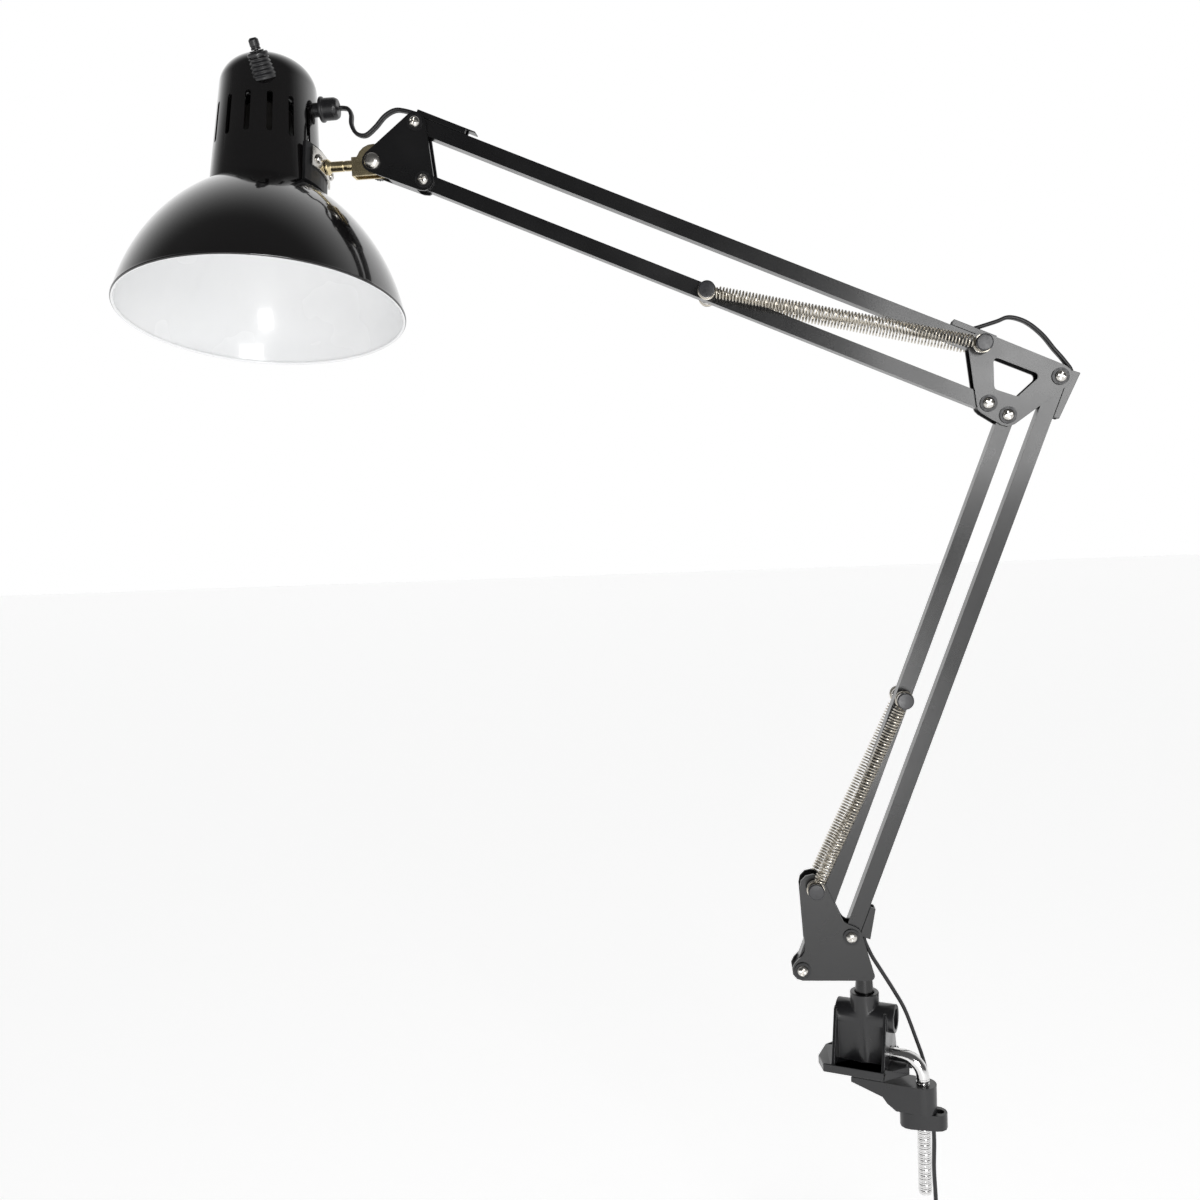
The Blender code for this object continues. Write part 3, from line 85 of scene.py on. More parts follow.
# --- Studio ---
# A white table top runs back into a white sweep, and the lamp hangs clear of it by its clamp.
# One large soft box stands in front to the right, and a smaller one below it lights the inside of the
# shade.

MM = 0.001
view = bpy.data.cameras.new("view")
view.sensor_width = 36.0
view.lens = 1174 / 1200 * view.sensor_width
yaw, pitch, roll = (math.radians(angle) for angle in (5.91, 3.81, -2.26))
ahead = Vector((-math.sin(yaw) * math.cos(pitch), math.cos(yaw) * math.cos(pitch), -math.sin(pitch)))
level = Vector((math.cos(yaw), math.sin(yaw), 0.0))
down = ahead.cross(level)
right = math.cos(roll) * level - math.sin(roll) * down
down = math.sin(roll) * level + math.cos(roll) * down
camera = bpy.data.objects.new("camera", view)
bpy.context.scene.collection.objects.link(camera)
eye = Vector((-83.7, -752.4, 358.0)) * MM
camera.matrix_world = Matrix.Translation(eye) @ Matrix((right, -down, -ahead)).transposed().to_4x4()
bpy.context.scene.camera = camera
bpy.context.scene.view_settings.view_transform = "Standard"


def soft_box(name, place, target, width, height, power):
    lamp = bpy.data.lights.new(name, "AREA")
    lamp.shape, lamp.size, lamp.size_y, lamp.energy = "RECTANGLE", width, height, power
    thing = bpy.data.objects.new(name, lamp)
    bpy.context.scene.collection.objects.link(thing)
    aim = Vector(place) - Vector(target)
    thing.matrix_world = Matrix.Translation(place) @ aim.to_track_quat("Z", "Y").to_matrix().to_4x4()


soft_box("key", (0.52, -1.5, 0.60), (0.05, 0.0, 0.42), 0.62, 0.42, 7.0)
soft_box("second", (0.05, -1.35, 0.05), (-0.3, 0.0, 0.5), 0.3, 0.3, 3.5)


class Flow:
    """A socket of a node tree, so that its maths reads as a sum."""

    def __init__(self, tree, socket):
        self.tree, self.socket = tree, socket

    def maths(self, operation, *values):
        node = self.tree.nodes.new("ShaderNodeMath")
        node.operation = operation
        for socket, value in zip(node.inputs, values):
            feed(socket, value)
        return Flow(self.tree, node.outputs[0])

    def __add__(self, other):
        return self.maths("ADD", self, other)

    def __sub__(self, other):
        return self.maths("SUBTRACT", self, other)

    def __rsub__(self, other):
        return self.maths("SUBTRACT", other, self)

    def __mul__(self, other):
        return self.maths("MULTIPLY", self, other)

    def to(self, power):
        return self.maths("POWER", self, power)

    def least(self, other):
        return self.maths("MINIMUM", self, other)

    __radd__, __rmul__ = __add__, __mul__


def feed(socket, value):
    if isinstance(value, Flow):
        value.tree.links.new(value.socket, socket)
    elif socket.type == "RGBA" and len(value) == 3:
        socket.default_value = (*value, 1.0)
    else:
        socket.default_value = value


def add_node(tree, kind, settings=None, sockets=None, output=0):
    """One node, its settings first and then its sockets' values or links, and the socket that it gives."""
    node = tree.nodes.new(kind)
    for name, value in (settings or {}).items():
        if name == "stops":
            ramp = node.color_ramp.elements
            while len(ramp) < len(value):
                ramp.new(1.0)
            for element, (position, color) in zip(ramp, value):
                element.position, element.color = position, color
        else:
            setattr(node, name, value)
    for name, value in (sockets or {}).items():
        feed(node.inputs[name], value)
    return Flow(tree, node.outputs[output])


sky = bpy.data.worlds.new("sweep")
bpy.context.scene.world = sky
sky.use_nodes = True
sky.node_tree.nodes.clear()
toward = add_node(sky.node_tree, "ShaderNodeTexCoord")
parts = sky.node_tree.nodes.new("ShaderNodeSeparateXYZ")
feed(parts.inputs[0], toward)
behind = add_node(sky.node_tree, "ShaderNodeMapRange", {"interpolation_type": "SMOOTHSTEP"}, {
    "Value": Flow(sky.node_tree, parts.outputs[1]), "From Min": -0.15, "From Max": 0.75, "To Min": 0.09,
    "To Max": 0.95,
})
seen = add_node(sky.node_tree, "ShaderNodeLightPath")
strength = add_node(sky.node_tree, "ShaderNodeMix", None, {0: seen, 2: behind, 3: 1.0})
backdrop = sky.node_tree.nodes.new("ShaderNodeBackground")
feed(backdrop.inputs["Strength"], strength)
backdrop.inputs["Color"].default_value = (1.0, 1.0, 1.0, 1.0)
sky.node_tree.links.new(backdrop.outputs[0], sky.node_tree.nodes.new("ShaderNodeOutputWorld").inputs[0])


class Finish:
    """A material built round one Principled shader, whose pattern follows the piece's own coordinates."""

    def __init__(self, name, **sockets):
        self.material = bpy.data.materials.new(name)
        self.material.use_nodes = True
        self.tree = self.material.node_tree
        self.tree.nodes.clear()
        self.shader = self.tree.nodes.new("ShaderNodeBsdfPrincipled")
        output = self.tree.nodes.new("ShaderNodeOutputMaterial")
        self.tree.links.new(self.shader.outputs[0], output.inputs[0])
        self.place = self.node("TexCoord", output=3)
        self.set(**sockets)

    def node(self, kind, settings=None, sockets=None, output=0):
        return add_node(self.tree, "ShaderNode" + kind, settings, sockets, output)

    def set(self, **sockets):
        for name, value in sockets.items():
            feed(self.shader.inputs[name.replace("_", " ").title()], value)
        return self

    def noise(self, scale, detail=3.0, rough=0.5, stretch=(1.0, 1.0, 1.0), turn=(0.0, 0.0, 0.0)):
        place = self.node("Mapping", None, {"Vector": self.place, "Scale": stretch, "Rotation": turn})
        return self.node("TexNoise", None, {"Vector": place, "Scale": scale, "Detail": detail,
                                            "Roughness": rough})

    def blend(self, share, first, second):
        return self.node("Mix", {"data_type": "RGBA"}, {0: share, 6: first, 7: second}, 2)

    def between(self, value, low, high, start=0.0, end=1.0):
        return self.node("MapRange", None, {
            "Value": value, "From Min": low, "From Max": high, "To Min": start, "To Max": end,
        })

    def bump(self, height, distance, strength=1.0):
        return self.node("Bump", None, {"Height": height, "Distance": distance, "Strength": strength})


white = Finish("table_top", roughness=0.6)
mottle = white.noise(40.0, 4.0)
white.set(base_color=white.blend(mottle, (0.90, 0.90, 0.90), (0.93, 0.93, 0.93)))
white.set(emission_color=(1.0, 1.0, 1.0), emission_strength=0.55)
table = bpy.data.meshes.new("table_top")
reach, drop = 12.0, cad_box[0][2] - 1.5 * MM
table.from_pydata([(-reach, -reach, drop), (reach, -reach, drop), (reach, reach, drop),
                   (-reach, reach, drop)], [],
                  [(0, 1, 2, 3)])
table_top = bpy.data.objects.new("table_top", table)
table.materials.append(white.material)
bpy.context.scene.collection.objects.link(table_top)

# --- Cord ---
# A flat two-core cord in a black vinyl jacket, 5 mm wide, with a shallow groove between its cores.
# It runs from the head's bushing through both arms, down beside the clamp, and ends in a moulded plug on a
# tied hank.

pivots = {joint["name"]: Vector(joint["pos_m"]) for joint in frame["joints"] if "pos_m" in joint}
right_foot, left_foot = pivots["lower_arm_swing"], pivots["lower_arm_left_swing"]
elbow_right, elbow_left = pivots["elbow_level"], pivots["upper_arm_low_swing"]
elbow_top = pivots["upper_arm_swing"]
head_top, tilt, head_centre = pivots["head_level"], pivots["head_tilt"], pivots["head_roll"]
elbow_low = elbow_right + left_foot - right_foot
head_low = head_top + elbow_left - elbow_top
lower_length, upper_length = (elbow_right - right_foot).length, (head_top - elbow_top).length
lean = math.radians(12.4)
head_place = Matrix.Translation(head_centre) @ Matrix.Rotation(-lean, 4, "X")
bar_side = 9.5 * MM
cord_width, cord_thick = 5.0 * MM, 2.5 * MM
on_face = bar_side / 2 + 0.3 * MM + cord_thick / 2

jacket = Finish("cord_vinyl")
haze, grain = jacket.noise(90.0), jacket.noise(2600.0, 2.0)
jacket.set(base_color=jacket.blend(haze, (0.010, 0.010, 0.011), (0.024, 0.024, 0.026)),
           roughness=jacket.between(haze, 0.3, 0.7, 0.36, 0.52), normal=jacket.bump(grain, 0.00004, 0.5))


def linked(name, mesh, *materials):
    """An object at the origin for a finished mesh, its faces smooth where they turn gently."""
    thing = bpy.data.objects.new(name, mesh)
    bpy.context.scene.collection.objects.link(thing)
    for material in materials if len(mesh.materials) == 0 else ():
        mesh.materials.append(material)
    mesh.polygons.foreach_set("use_smooth", [True] * len(mesh.polygons))
    mesh.set_sharp_from_angle(angle=math.radians(38))
    return thing


def settle(thing, *nodes, body=None):
    """Stands a piece in for its CAD nodes, on their body."""
    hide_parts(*nodes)
    if body != "":
        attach(thing, body or frame["nodes"][nodes[0]]["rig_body"])
    return thing


def closed_mesh(name, shape):
    bmesh.ops.recalc_face_normals(shape, faces=shape.faces)
    mesh = bpy.data.meshes.new(name)
    shape.to_mesh(mesh)
    shape.free()
    return mesh


def smooth_line(points, steps=12):
    """Points close together on the Catmull-Rom curve through a route's own points."""
    points = [2 * points[0] - points[1]] + points + [2 * points[-1] - points[-2]]
    fine = [points[1]]
    for before, start, end, after in zip(points, points[1:], points[2:], points[3:]):
        for step in range(1, steps + 1):
            t = step / steps
            fine.append(0.5 * (2 * start + (end - before) * t
                               + (2 * before - 5 * start + 4 * end - after) * t * t
                               + (3 * start - before - 3 * end + after) * t * t * t))
    return fine


def cord_section(count=24):
    """The jacket's outline as (across its width, through its thickness)."""
    outline = []
    core, flat_part = cord_thick / 2, (cord_width - cord_thick) / 2
    for step in range(count):
        angle = 2 * math.pi * step / count
        across, through = math.cos(angle), math.sin(angle)
        side = flat_part * max(-1.0, min(1.0, 2.2 * across))
        groove = 1 - 0.16 * math.exp(-((side + core * across) / (0.45 * MM)) ** 2)
        outline.append((side + core * across, core * through * groove))
    return outline


def cord_mesh(name, line):
    """The jacket along a line, its width kept along Y, closed at both ends."""
    shape = bmesh.new()
    rings = []
    for index, point in enumerate(line):
        along = (line[min(index + 1, len(line) - 1)] - line[max(index - 1, 0)]).normalized()
        width = Vector((0.0, 1.0, 0.0))
        width = (width - width.dot(along) * along).normalized()
        out = along.cross(width)
        rings.append([shape.verts.new(point + across * width + through * out) for across,
                      through in cord_section()])
    for before, after in zip(rings, rings[1:]):
        for index in range(len(before)):
            following = (index + 1) % len(before)
            shape.faces.new((before[index], before[following], after[following], after[index]))
    shape.faces.new(rings[0][::-1])
    shape.faces.new(rings[-1])
    return closed_mesh(name, shape)


def at(x, z, y=0.0):
    return Vector((x, y, z)) * MM


def beside(foot, end, along, out):
    """A point this far along a bar from its foot, and out from its axis on the cord's side."""
    ahead = (end - foot).normalized()
    return foot + along * MM * ahead + out * Vector((ahead.z, 0.0, -ahead.x))


def on_top(along, out):
    return beside(elbow_top, head_top, along, out)


def on_right(along, out):
    return beside(right_foot, elbow_right, along, out)


bushing = head_place @ Vector((48.1 * MM, 0.0, 40.5 * MM))
upper, lower = upper_length / MM, lower_length / MM
stretches = [
    ("head_cord_loop", ["head_cord_a"], ("head", "fork"), [
        bushing, bushing + at(3.4, -0.3), at(-312.6, 629.7, 6.6), at(-310.6, 625.2, 4.4),
        at(-310.0, 618.6, 2.0),
        at(-306.6, 612.4, 0.4), at(-300.5, 610.6)]),
    ("head_cord_rise", ["head_cord_b"], ("fork", "head_yoke"), [
        at(-293.8, 615.2), at(-287.3, 621.6), at(-280.6, 624.7), at(-274.3, 624.0)]),
    ("upper_arm_run", ["upper_arm_cord"], ("head_yoke", "upper_arm_top"), [
        on_top(upper + 2, on_face + 0.1 * MM), on_top(upper - 8, on_face),
        on_top(upper - 18, on_face - 1.0 * MM),
        on_top(upper - 26, 1.8 * MM), on_top(upper - 38, 0.0), on_top(upper - 50, 0.0),
        on_top(0.5 * upper, 0.0),
        on_top(44, 0.0), on_top(32, 0.0), on_top(19, 1.4 * MM), on_top(12.5, 4.4 * MM),
        on_top(7.0, 8.6 * MM),
        on_top(2.5, 12.2 * MM)]),
    ("elbow_cord_arch", ["elbow_cord_a"], ("upper_arm_top", "elbow"), [
        at(90.2, 471.2), at(96.5, 473.2), at(103.5, 471.6), at(109.9, 467.9)]),
    ("elbow_cord_fall", ["elbow_cord_b"], ("elbow", "lower_arm_right"), [
        at(117.2, 461.1), at(123.6, 452.6), at(129.4, 445.4), on_right(lower + 5.5, on_face + 0.2 * MM)]),
    ("lower_arm_run", ["lower_arm_cord"], ("lower_arm_right", None), [
        on_right(lower - 2, on_face), on_right(lower - 9, on_face - 1.0 * MM),
        on_right(lower - 17, 1.8 * MM),
        on_right(lower - 29, 0.0), on_right(lower - 41, 0.0), on_right(0.5 * lower, 0.0), on_right(45, 0.0),
        on_right(33, 0.0), on_right(20, 1.2 * MM), on_right(12, 4.6 * MM), on_right(4, 7.9 * MM),
        on_right(0.0, 9.4 * MM)]),
    ("base_cord_drop", ["mains_cord_a"], ("lower_arm_right", "base"), [
        at(2.3, 79.0, 0.2), at(5.6, 71.6, 0.5), at(9.4, 65.0, 1.0), at(13.6, 57.8, 1.8)]),
    ("mains_lead", ["mains_cord_b", "cord_hank"], ("base", "clamp"), [
        at(19.2, 48.0, 3.0), at(25.9, 35.1, 4.0), at(32.2, 17.0, 5.0), at(37.3, 0.5, 5.5),
        at(40.8, -19.1, 6.0),
        at(42.6, -38.0, 6.4), at(43.2, -54.0, 6.8), at(42.8, -72.0, 7.2), at(43.6, -93.4, 7.6),
        at(44.0, -111.0, 7.6)]),
]
hank_low, hank_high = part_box("cord_hank")
hank_centre = (hank_low + hank_high) / 2
turn_top, turn_bottom = hank_high.z - 22.4 * MM, hank_low.z + 22.4 * MM
front, back = hank_centre.y - 2.6 * MM, hank_centre.y + 2.6 * MM
wraps = [(21.1, back), (21.1, front), (18.35, front), (18.35, back), (15.6, back), (15.6, front)]
hank = []
for number, (radius, side) in enumerate(wraps):
    next_radius, next_side = wraps[min(number + 1, len(wraps) - 1)]
    for step in range(16):
        share = max(0.0, (step - 11) / 5)
        around = (radius + (next_radius - radius) * share) * MM
        y = side + (next_side - side) * share
        if step == 0:
            hank.append(Vector((hank_centre.x + around, y, turn_top - 2 * MM)))
        elif step == 1:
            hank.append(Vector((hank_centre.x + around, y, hank_centre.z)))
        elif step < 8:
            angle = math.radians(-30 * (step - 2))
            hank.append(Vector((hank_centre.x + around * math.cos(angle), y,
                                turn_bottom + around * math.sin(angle))))
        elif step == 9:
            hank.append(Vector((hank_centre.x - around, y, hank_centre.z)))
        elif step > 9 and not (number == len(wraps) - 1 and step > 15):
            angle = math.radians(180 - 30 * (step - 10))
            hank.append(Vector((hank_centre.x + around * math.cos(angle), y,
                                turn_top + around * math.sin(angle))))
inside = hank_centre.x + 15.4 * MM
hank += [Vector((inside, front, turn_top - 6 * MM)), Vector((inside, front, hank_centre.z)),
         Vector((inside, front, turn_bottom + 1 * MM)),
         Vector((inside - 0.9 * MM, front, turn_bottom - 5.5 * MM))]
plug_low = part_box("plug")[0]
hank += [Vector((hank_centre.x + 8.6 * MM, hank_centre.y - 1.5 * MM, turn_bottom - 11.6 * MM)),
         Vector((hank_centre.x + 3.6 * MM, hank_centre.y - 0.6 * MM, turn_bottom - 10.0 * MM)),
         Vector((hank_centre.x + 0.6 * MM, hank_centre.y, turn_bottom - 5.6 * MM)),
         Vector((hank_centre.x, hank_centre.y, plug_low.z + 0.5 * MM))]
stretches[-1][3].extend(hank)
route = smooth_line([point for stretch in stretches for point in stretch[3]])
first = 0
cords = {}
for index, (name, nodes, (start_body, end_body), points) in enumerate(stretches):
    last = first + 12 * (len(points) - (1 if index == 0 else 0))
    line = route[first:last + 1]
    thing = linked(name, cord_mesh(name, line), jacket.material)
    if end_body is None:
        settle(thing, *nodes, body=start_body)
    else:
        settle(thing, *nodes, body="")
        reach_end = line[12] if name == "upper_arm_run" else (line[-1] if name != "mains_lead" else at(25.9,
                35.1, 4.0))
        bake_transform(thing)
    length = sum((after - before).length for before, after in zip(line, line[1:]))
    cords[name] = (thing, line, length)
    first = last
for name, (thing, line, length) in cords.items():
    name != "mains_lead"


def skin(node, name, radius, *materials, segments=2, sharp=36.0, clamp=True):
    """A CAD solid as one skin of joined faces, with its edges rolled over."""
    shape = bmesh.new()
    shape.from_mesh(frame["nodes"][node].data)
    bmesh.ops.remove_doubles(shape, verts=shape.verts, dist=0.003 * MM)
    bmesh.ops.dissolve_limit(shape, angle_limit=math.radians(0.8), verts=shape.verts, edges=shape.edges)
    mesh = bpy.data.meshes.new(name)
    shape.to_mesh(mesh)
    shape.free()
    for layer in list(mesh.uv_layers):
        mesh.uv_layers.remove(layer)
    thing = linked(name, mesh, *materials)
    edge = thing.modifiers.new("rolled edge", "BEVEL")
    edge.width, edge.segments = radius, segments
    edge.limit_method, edge.angle_limit = "ANGLE", math.radians(sharp)
    edge.use_clamp_overlap, edge.harden_normals = clamp, True
    bpy.context.view_layer.update()
    done = bpy.data.meshes.new_from_object(thing.evaluated_get(bpy.context.evaluated_depsgraph_get()))
    thing.modifiers.clear()
    thing.data = done
    return settle(thing, node)


vinyl = Finish("plug_vinyl")
cloud, pits = vinyl.noise(120.0), vinyl.noise(1500.0, 2.0)
vinyl.set(base_color=vinyl.blend(cloud, (0.012, 0.012, 0.013), (0.022, 0.022, 0.024)),
          roughness=vinyl.between(cloud, 0.3, 0.7, 0.42, 0.58), normal=vinyl.bump(pits, 0.00005, 0.6))
blade = Finish("plug_blades", metallic=1.0)
wiped = blade.noise(700.0, 3.0, 0.5, (1.0, 1.0, 0.08))
blade.set(base_color=blade.blend(wiped, (0.62, 0.60, 0.56), (0.78, 0.76, 0.72)),
          roughness=blade.between(wiped, 0.3, 0.7, 0.2, 0.36))
plug = skin("plug", "mains_plug", 0.5 * MM, vinyl.material, blade.material)
for face in plug.data.polygons:
    if face.center.z > plug_low.z + 24 * MM:
        face.material_index = 1
tie = skin("hank_tie", "hank_band", 0.4 * MM, vinyl.material)
lead, line, length = cords["mains_lead"]

# --- Clamp ---
# A black-coated casting: a chamfered plate, a ribbed socket for the swivel stem and a second, open socket
# across it.
# A bent, chromed rod with a rolled thread carries the sliding jaw and a moulded wing nut with two holes.

coated = Finish("coated_casting", coat_weight=0.35, coat_roughness=0.12)
pool, skin_grain = coated.noise(60.0, 4.0), coated.noise(900.0, 4.0, 0.6)
coated.set(base_color=coated.blend(pool, (0.006, 0.006, 0.007), (0.016, 0.016, 0.018)),
           roughness=coated.between(pool, 0.3, 0.7, 0.26, 0.42), normal=coated.bump(skin_grain, 0.00010,
                   0.5))
skin("clamp_body", "clamp_casting", 0.5 * MM, coated.material, clamp=False)
skin("lower_jaw", "clamp_jaw", 0.7 * MM, coated.material)

moulded = Finish("moulded_wing", coat_weight=0.2, coat_roughness=0.2)
flow, specks = moulded.noise(150.0, 3.0), moulded.noise(1800.0, 2.0)
moulded.set(base_color=moulded.blend(flow, (0.008, 0.008, 0.009), (0.018, 0.018, 0.020)),
            roughness=moulded.between(flow, 0.3, 0.7, 0.3, 0.45), normal=moulded.bump(specks, 0.00005, 0.6))
skin("wing_nut", "wing_nut_moulding", 0.9 * MM, moulded.material, segments=3)

chromed = Finish("chrome_plate", metallic=1.0)
drawn, smear = chromed.noise(1500.0, 3.0, 0.6, (1.0, 1.0, 0.04)), chromed.noise(70.0)
chromed.set(base_color=chromed.blend(smear, (0.70, 0.69, 0.68), (0.84, 0.84, 0.84)),
            roughness=chromed.between(smear, 0.3, 0.7, 0.07, 0.17), normal=chromed.bump(drawn, 0.00002,
                    0.35))
skin("clamp_rod", "bent_rod", 0.35 * MM, chromed.material, segments=3)


class Recipe:
    """A Geometry Nodes tree with named sizes. Its result is made real and becomes a plain mesh."""

    def __init__(self, name):
        self.tree = bpy.data.node_groups.new(name, "GeometryNodeTree")
        for way in ("INPUT", "OUTPUT"):
            self.tree.interface.new_socket("Geometry", in_out=way, socket_type="NodeSocketGeometry")
        self.start = self.tree.nodes.new("NodeGroupInput")
        self.base = Flow(self.tree, self.start.outputs[0])

    def size(self, name, kind="Float"):
        self.tree.interface.new_socket(name, in_out="INPUT", socket_type="NodeSocket" + kind)
        return Flow(self.tree, self.start.outputs[name])

    def node(self, kind, settings=None, sockets=None, output=0):
        return add_node(self.tree, "GeometryNode" + kind, settings, sockets, output)

    def vector(self, x=0.0, y=0.0, z=0.0):
        return add_node(self.tree, "ShaderNodeCombineXYZ", None, {"X": x, "Y": y, "Z": z})

    def joined(self, *shapes):
        node = self.tree.nodes.new("GeometryNodeJoinGeometry")
        for shape in shapes:
            self.tree.links.new(shape.socket, node.inputs[0])
        return Flow(self.tree, node.outputs[0])

    def moved(self, shape, place=(0.0, 0.0, 0.0), turn=(0.0, 0.0, 0.0), scale=(1.0, 1.0, 1.0)):
        return self.node("Transform", None, {"Geometry": shape, "Translation": place, "Rotation": turn,
                                             "Scale": scale})

    def painted(self, shape, material):
        return self.node("SetMaterial", None, {"Geometry": shape, "Material": material})

    def finish(self, shape, material=None):
        shape = self.node("RealizeInstances", None, {"Geometry": shape})
        if material is not None:
            shape = self.painted(shape, material)
        end = self.tree.nodes.new("NodeGroupOutput")
        feed(end.inputs[0], shape)
        return self

    def make(self, name, points=(), mesh=None, **sizes):
        """The tree's mesh, on its own points or mesh, with these sizes."""
        if mesh is None:
            mesh = bpy.data.meshes.new(name)
            mesh.from_pydata([tuple(point) for point in points], [], [])
        holder = bpy.data.objects.new(name + " holder", mesh)
        bpy.context.scene.collection.objects.link(holder)
        modifier = holder.modifiers.new("recipe", "NODES")
        modifier.node_group = self.tree
        for item in self.tree.interface.items_tree:
            if item.in_out == "INPUT" and item.name.lower().replace(" ", "_") in sizes:
                modifier[item.identifier] = sizes[item.name.lower().replace(" ", "_")]
        bpy.context.view_layer.update()
        done = bpy.data.meshes.new_from_object(holder.evaluated_get(bpy.context.evaluated_depsgraph_get()))
        bpy.data.objects.remove(holder)
        done.name = name
        return done


def winding_recipe(name, hooked):
    """Round wire wound along Z from Low to High, its ends drawn in, with a hook ring at 0 and at Length."""
    recipe = Recipe(name)
    low_end, high_end, coil = recipe.size("Low"), recipe.size("High"), recipe.size("Coil Radius")
    wire, turns, sides = recipe.size("Wire Radius"), recipe.size("Turns"), recipe.size("Steps", "Int")
    material = recipe.size("Material", "Material")
    line = recipe.node("CurvePrimitiveLine", None, {"Start": recipe.vector(z=low_end),
                                                    "End": recipe.vector(z=high_end)})
    line = recipe.node("ResampleCurve", None, {"Curve": line, "Count": sides})
    share = recipe.node("SplineParameter")
    angle = share * turns * (2 * math.pi)
    nearest_end = share.least(1 - share) * turns * 1.6
    radius = coil * nearest_end.least(1.0).to(0.6)
    height = low_end + (high_end - low_end) * share
    place = recipe.vector(angle.maths("COSINE", angle) * radius, angle.maths("SINE", angle) * radius,
                          height)
    shape = recipe.node("SetPosition", None, {"Geometry": line, "Position": place})
    if hooked:
        hook, length = recipe.size("Hook Radius"), recipe.size("Length")
        for end, start_angle in ((0.0, 90.0), (length, 270.0)):
            ring = recipe.node("CurveArc", None, {"Resolution": 40, "Radius": hook,
                                                  "Start Angle": math.radians(start_angle),
                                                  "Sweep Angle": math.radians(335)})
            shape = recipe.joined(shape, recipe.moved(ring, recipe.vector(z=end),
                                                      (math.radians(90), 0.0, 0.0)))
    profile = recipe.node("CurvePrimitiveCircle", None, {"Resolution": 7, "Radius": wire})
    shape = recipe.node("CurveToMesh", None, {"Curve": shape, "Profile Curve": profile, "Fill Caps": True})
    return recipe.finish(shape, material)


rod_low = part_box("clamp_rod")[0]
clamp_turn = math.radians(-20.0)
rod_axis = Vector((36 * MM * math.cos(clamp_turn), 36 * MM * math.sin(clamp_turn), 0.0))
pitch_of_thread = 1.25 * MM
thread_low, thread_high = rod_low.z + 0.6 * MM, -1.0 * MM
rolled = winding_recipe("rolled thread", False)
thread = rolled.make("thread", low=thread_low, high=thread_high, coil_radius=3.82 * MM,
                     wire_radius=0.42 * MM,
                     turns=(thread_high - thread_low) / pitch_of_thread,
                     steps=int((thread_high - thread_low) / pitch_of_thread * 20),
                     material=chromed.material)
thread.transform(Matrix.Translation(rod_axis))
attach(linked("rod_thread", thread, chromed.material), "clamp")

# --- Base and bars ---
# The base bracket and the hinge plates are folded sheet, the arms are square tube, all in gloss black
# enamel.
# Channels riveted to the tubes guide the cord in and out of them.

enamel = Finish("black_enamel", coat_weight=0.25, coat_roughness=0.12)
drift, peel = enamel.noise(28.0, 3.0), enamel.noise(1300.0, 2.0, 0.5)
enamel.set(base_color=enamel.blend(drift, (0.0035, 0.0035, 0.004), (0.009, 0.0088, 0.0095)),
           roughness=enamel.between(drift, 0.3, 0.7, 0.24, 0.33), normal=enamel.bump(peel, 0.000035, 0.30))
for node, name, radius in (
    ("base_bracket", "base_plate", 0.3), ("elbow_bracket", "elbow_plate", 0.3),
    ("head_bracket", "head_plate", 0.3),
    ("lower_arm_right_bar", "lower_tube_right", 0.75), ("lower_arm_left_bar", "lower_tube_left", 0.75),
    ("upper_arm_upper_bar", "upper_tube_top", 0.75), ("upper_arm_lower_bar", "upper_tube_low", 0.75),
    ("base_cord_clip", "base_channel", 0.3), ("elbow_cord_clip_lower", "elbow_channel_lower", 0.3),
    ("elbow_cord_clip_upper", "elbow_channel_upper", 0.3), ("head_cord_clip", "head_channel", 0.3),
    ("swivel_stem", "stem", 0.4),
):
    skin(node, name, radius * MM, enamel.material, segments=3 if radius > 0.5 else 2)

# --- Pivot screws ---
# Nickel-plated domed screws with a cross recess, each on a black washer, with a hexagon nut on the back.
# One recipe makes them; each hinge plate has its own set.

plated = Finish("bright_nickel", metallic=1.0)
wear, lines = plated.noise(160.0), plated.noise(2400.0, 2.0)
plated.set(base_color=plated.blend(wear, (0.58, 0.56, 0.53), (0.78, 0.76, 0.72)),
           roughness=plated.between(wear, 0.3, 0.7, 0.16, 0.34), normal=plated.bump(lines, 0.00002, 0.4))
blackened = Finish("blackened_washer", metallic=0.3)
oxide = blackened.noise(400.0)
blackened.set(base_color=blackened.blend(oxide, (0.008, 0.008, 0.009), (0.03, 0.03, 0.032)),
              roughness=blackened.between(oxide, 0.3, 0.7, 0.25, 0.42))

fastener = Recipe("cross-head pivot screw")
head_radius, head_rise = fastener.size("Head Radius"), fastener.size("Head Rise")
washer_radius, washer_rise = fastener.size("Washer Radius"), fastener.size("Washer Rise")
shank_radius, half_grip = fastener.size("Shank Radius"), fastener.size("Half Grip")
nut_radius, nut_rise = fastener.size("Nut Radius"), fastener.size("Nut Rise")
recess_width, recess_depth = fastener.size("Recess Width"), fastener.size("Recess Depth")
head_metal = fastener.size("Head Material", "Material")
washer_metal = fastener.size("Washer Material", "Material")
ball = fastener.node("MeshUVSphere", None, {"Segments": 28, "Rings": 16, "Radius": 1.0})
ball = fastener.moved(ball, scale=fastener.vector(head_radius, head_radius, head_rise))
seat = half_grip + washer_rise
below = fastener.moved(fastener.node("MeshCube", None, {"Size": (1.0, 1.0, 1.0)}),
                       fastener.vector(z=head_rise * -0.5 - 0.0),
                       scale=fastener.vector(head_radius * 3.0, head_radius * 3.0, head_rise))
arms = []
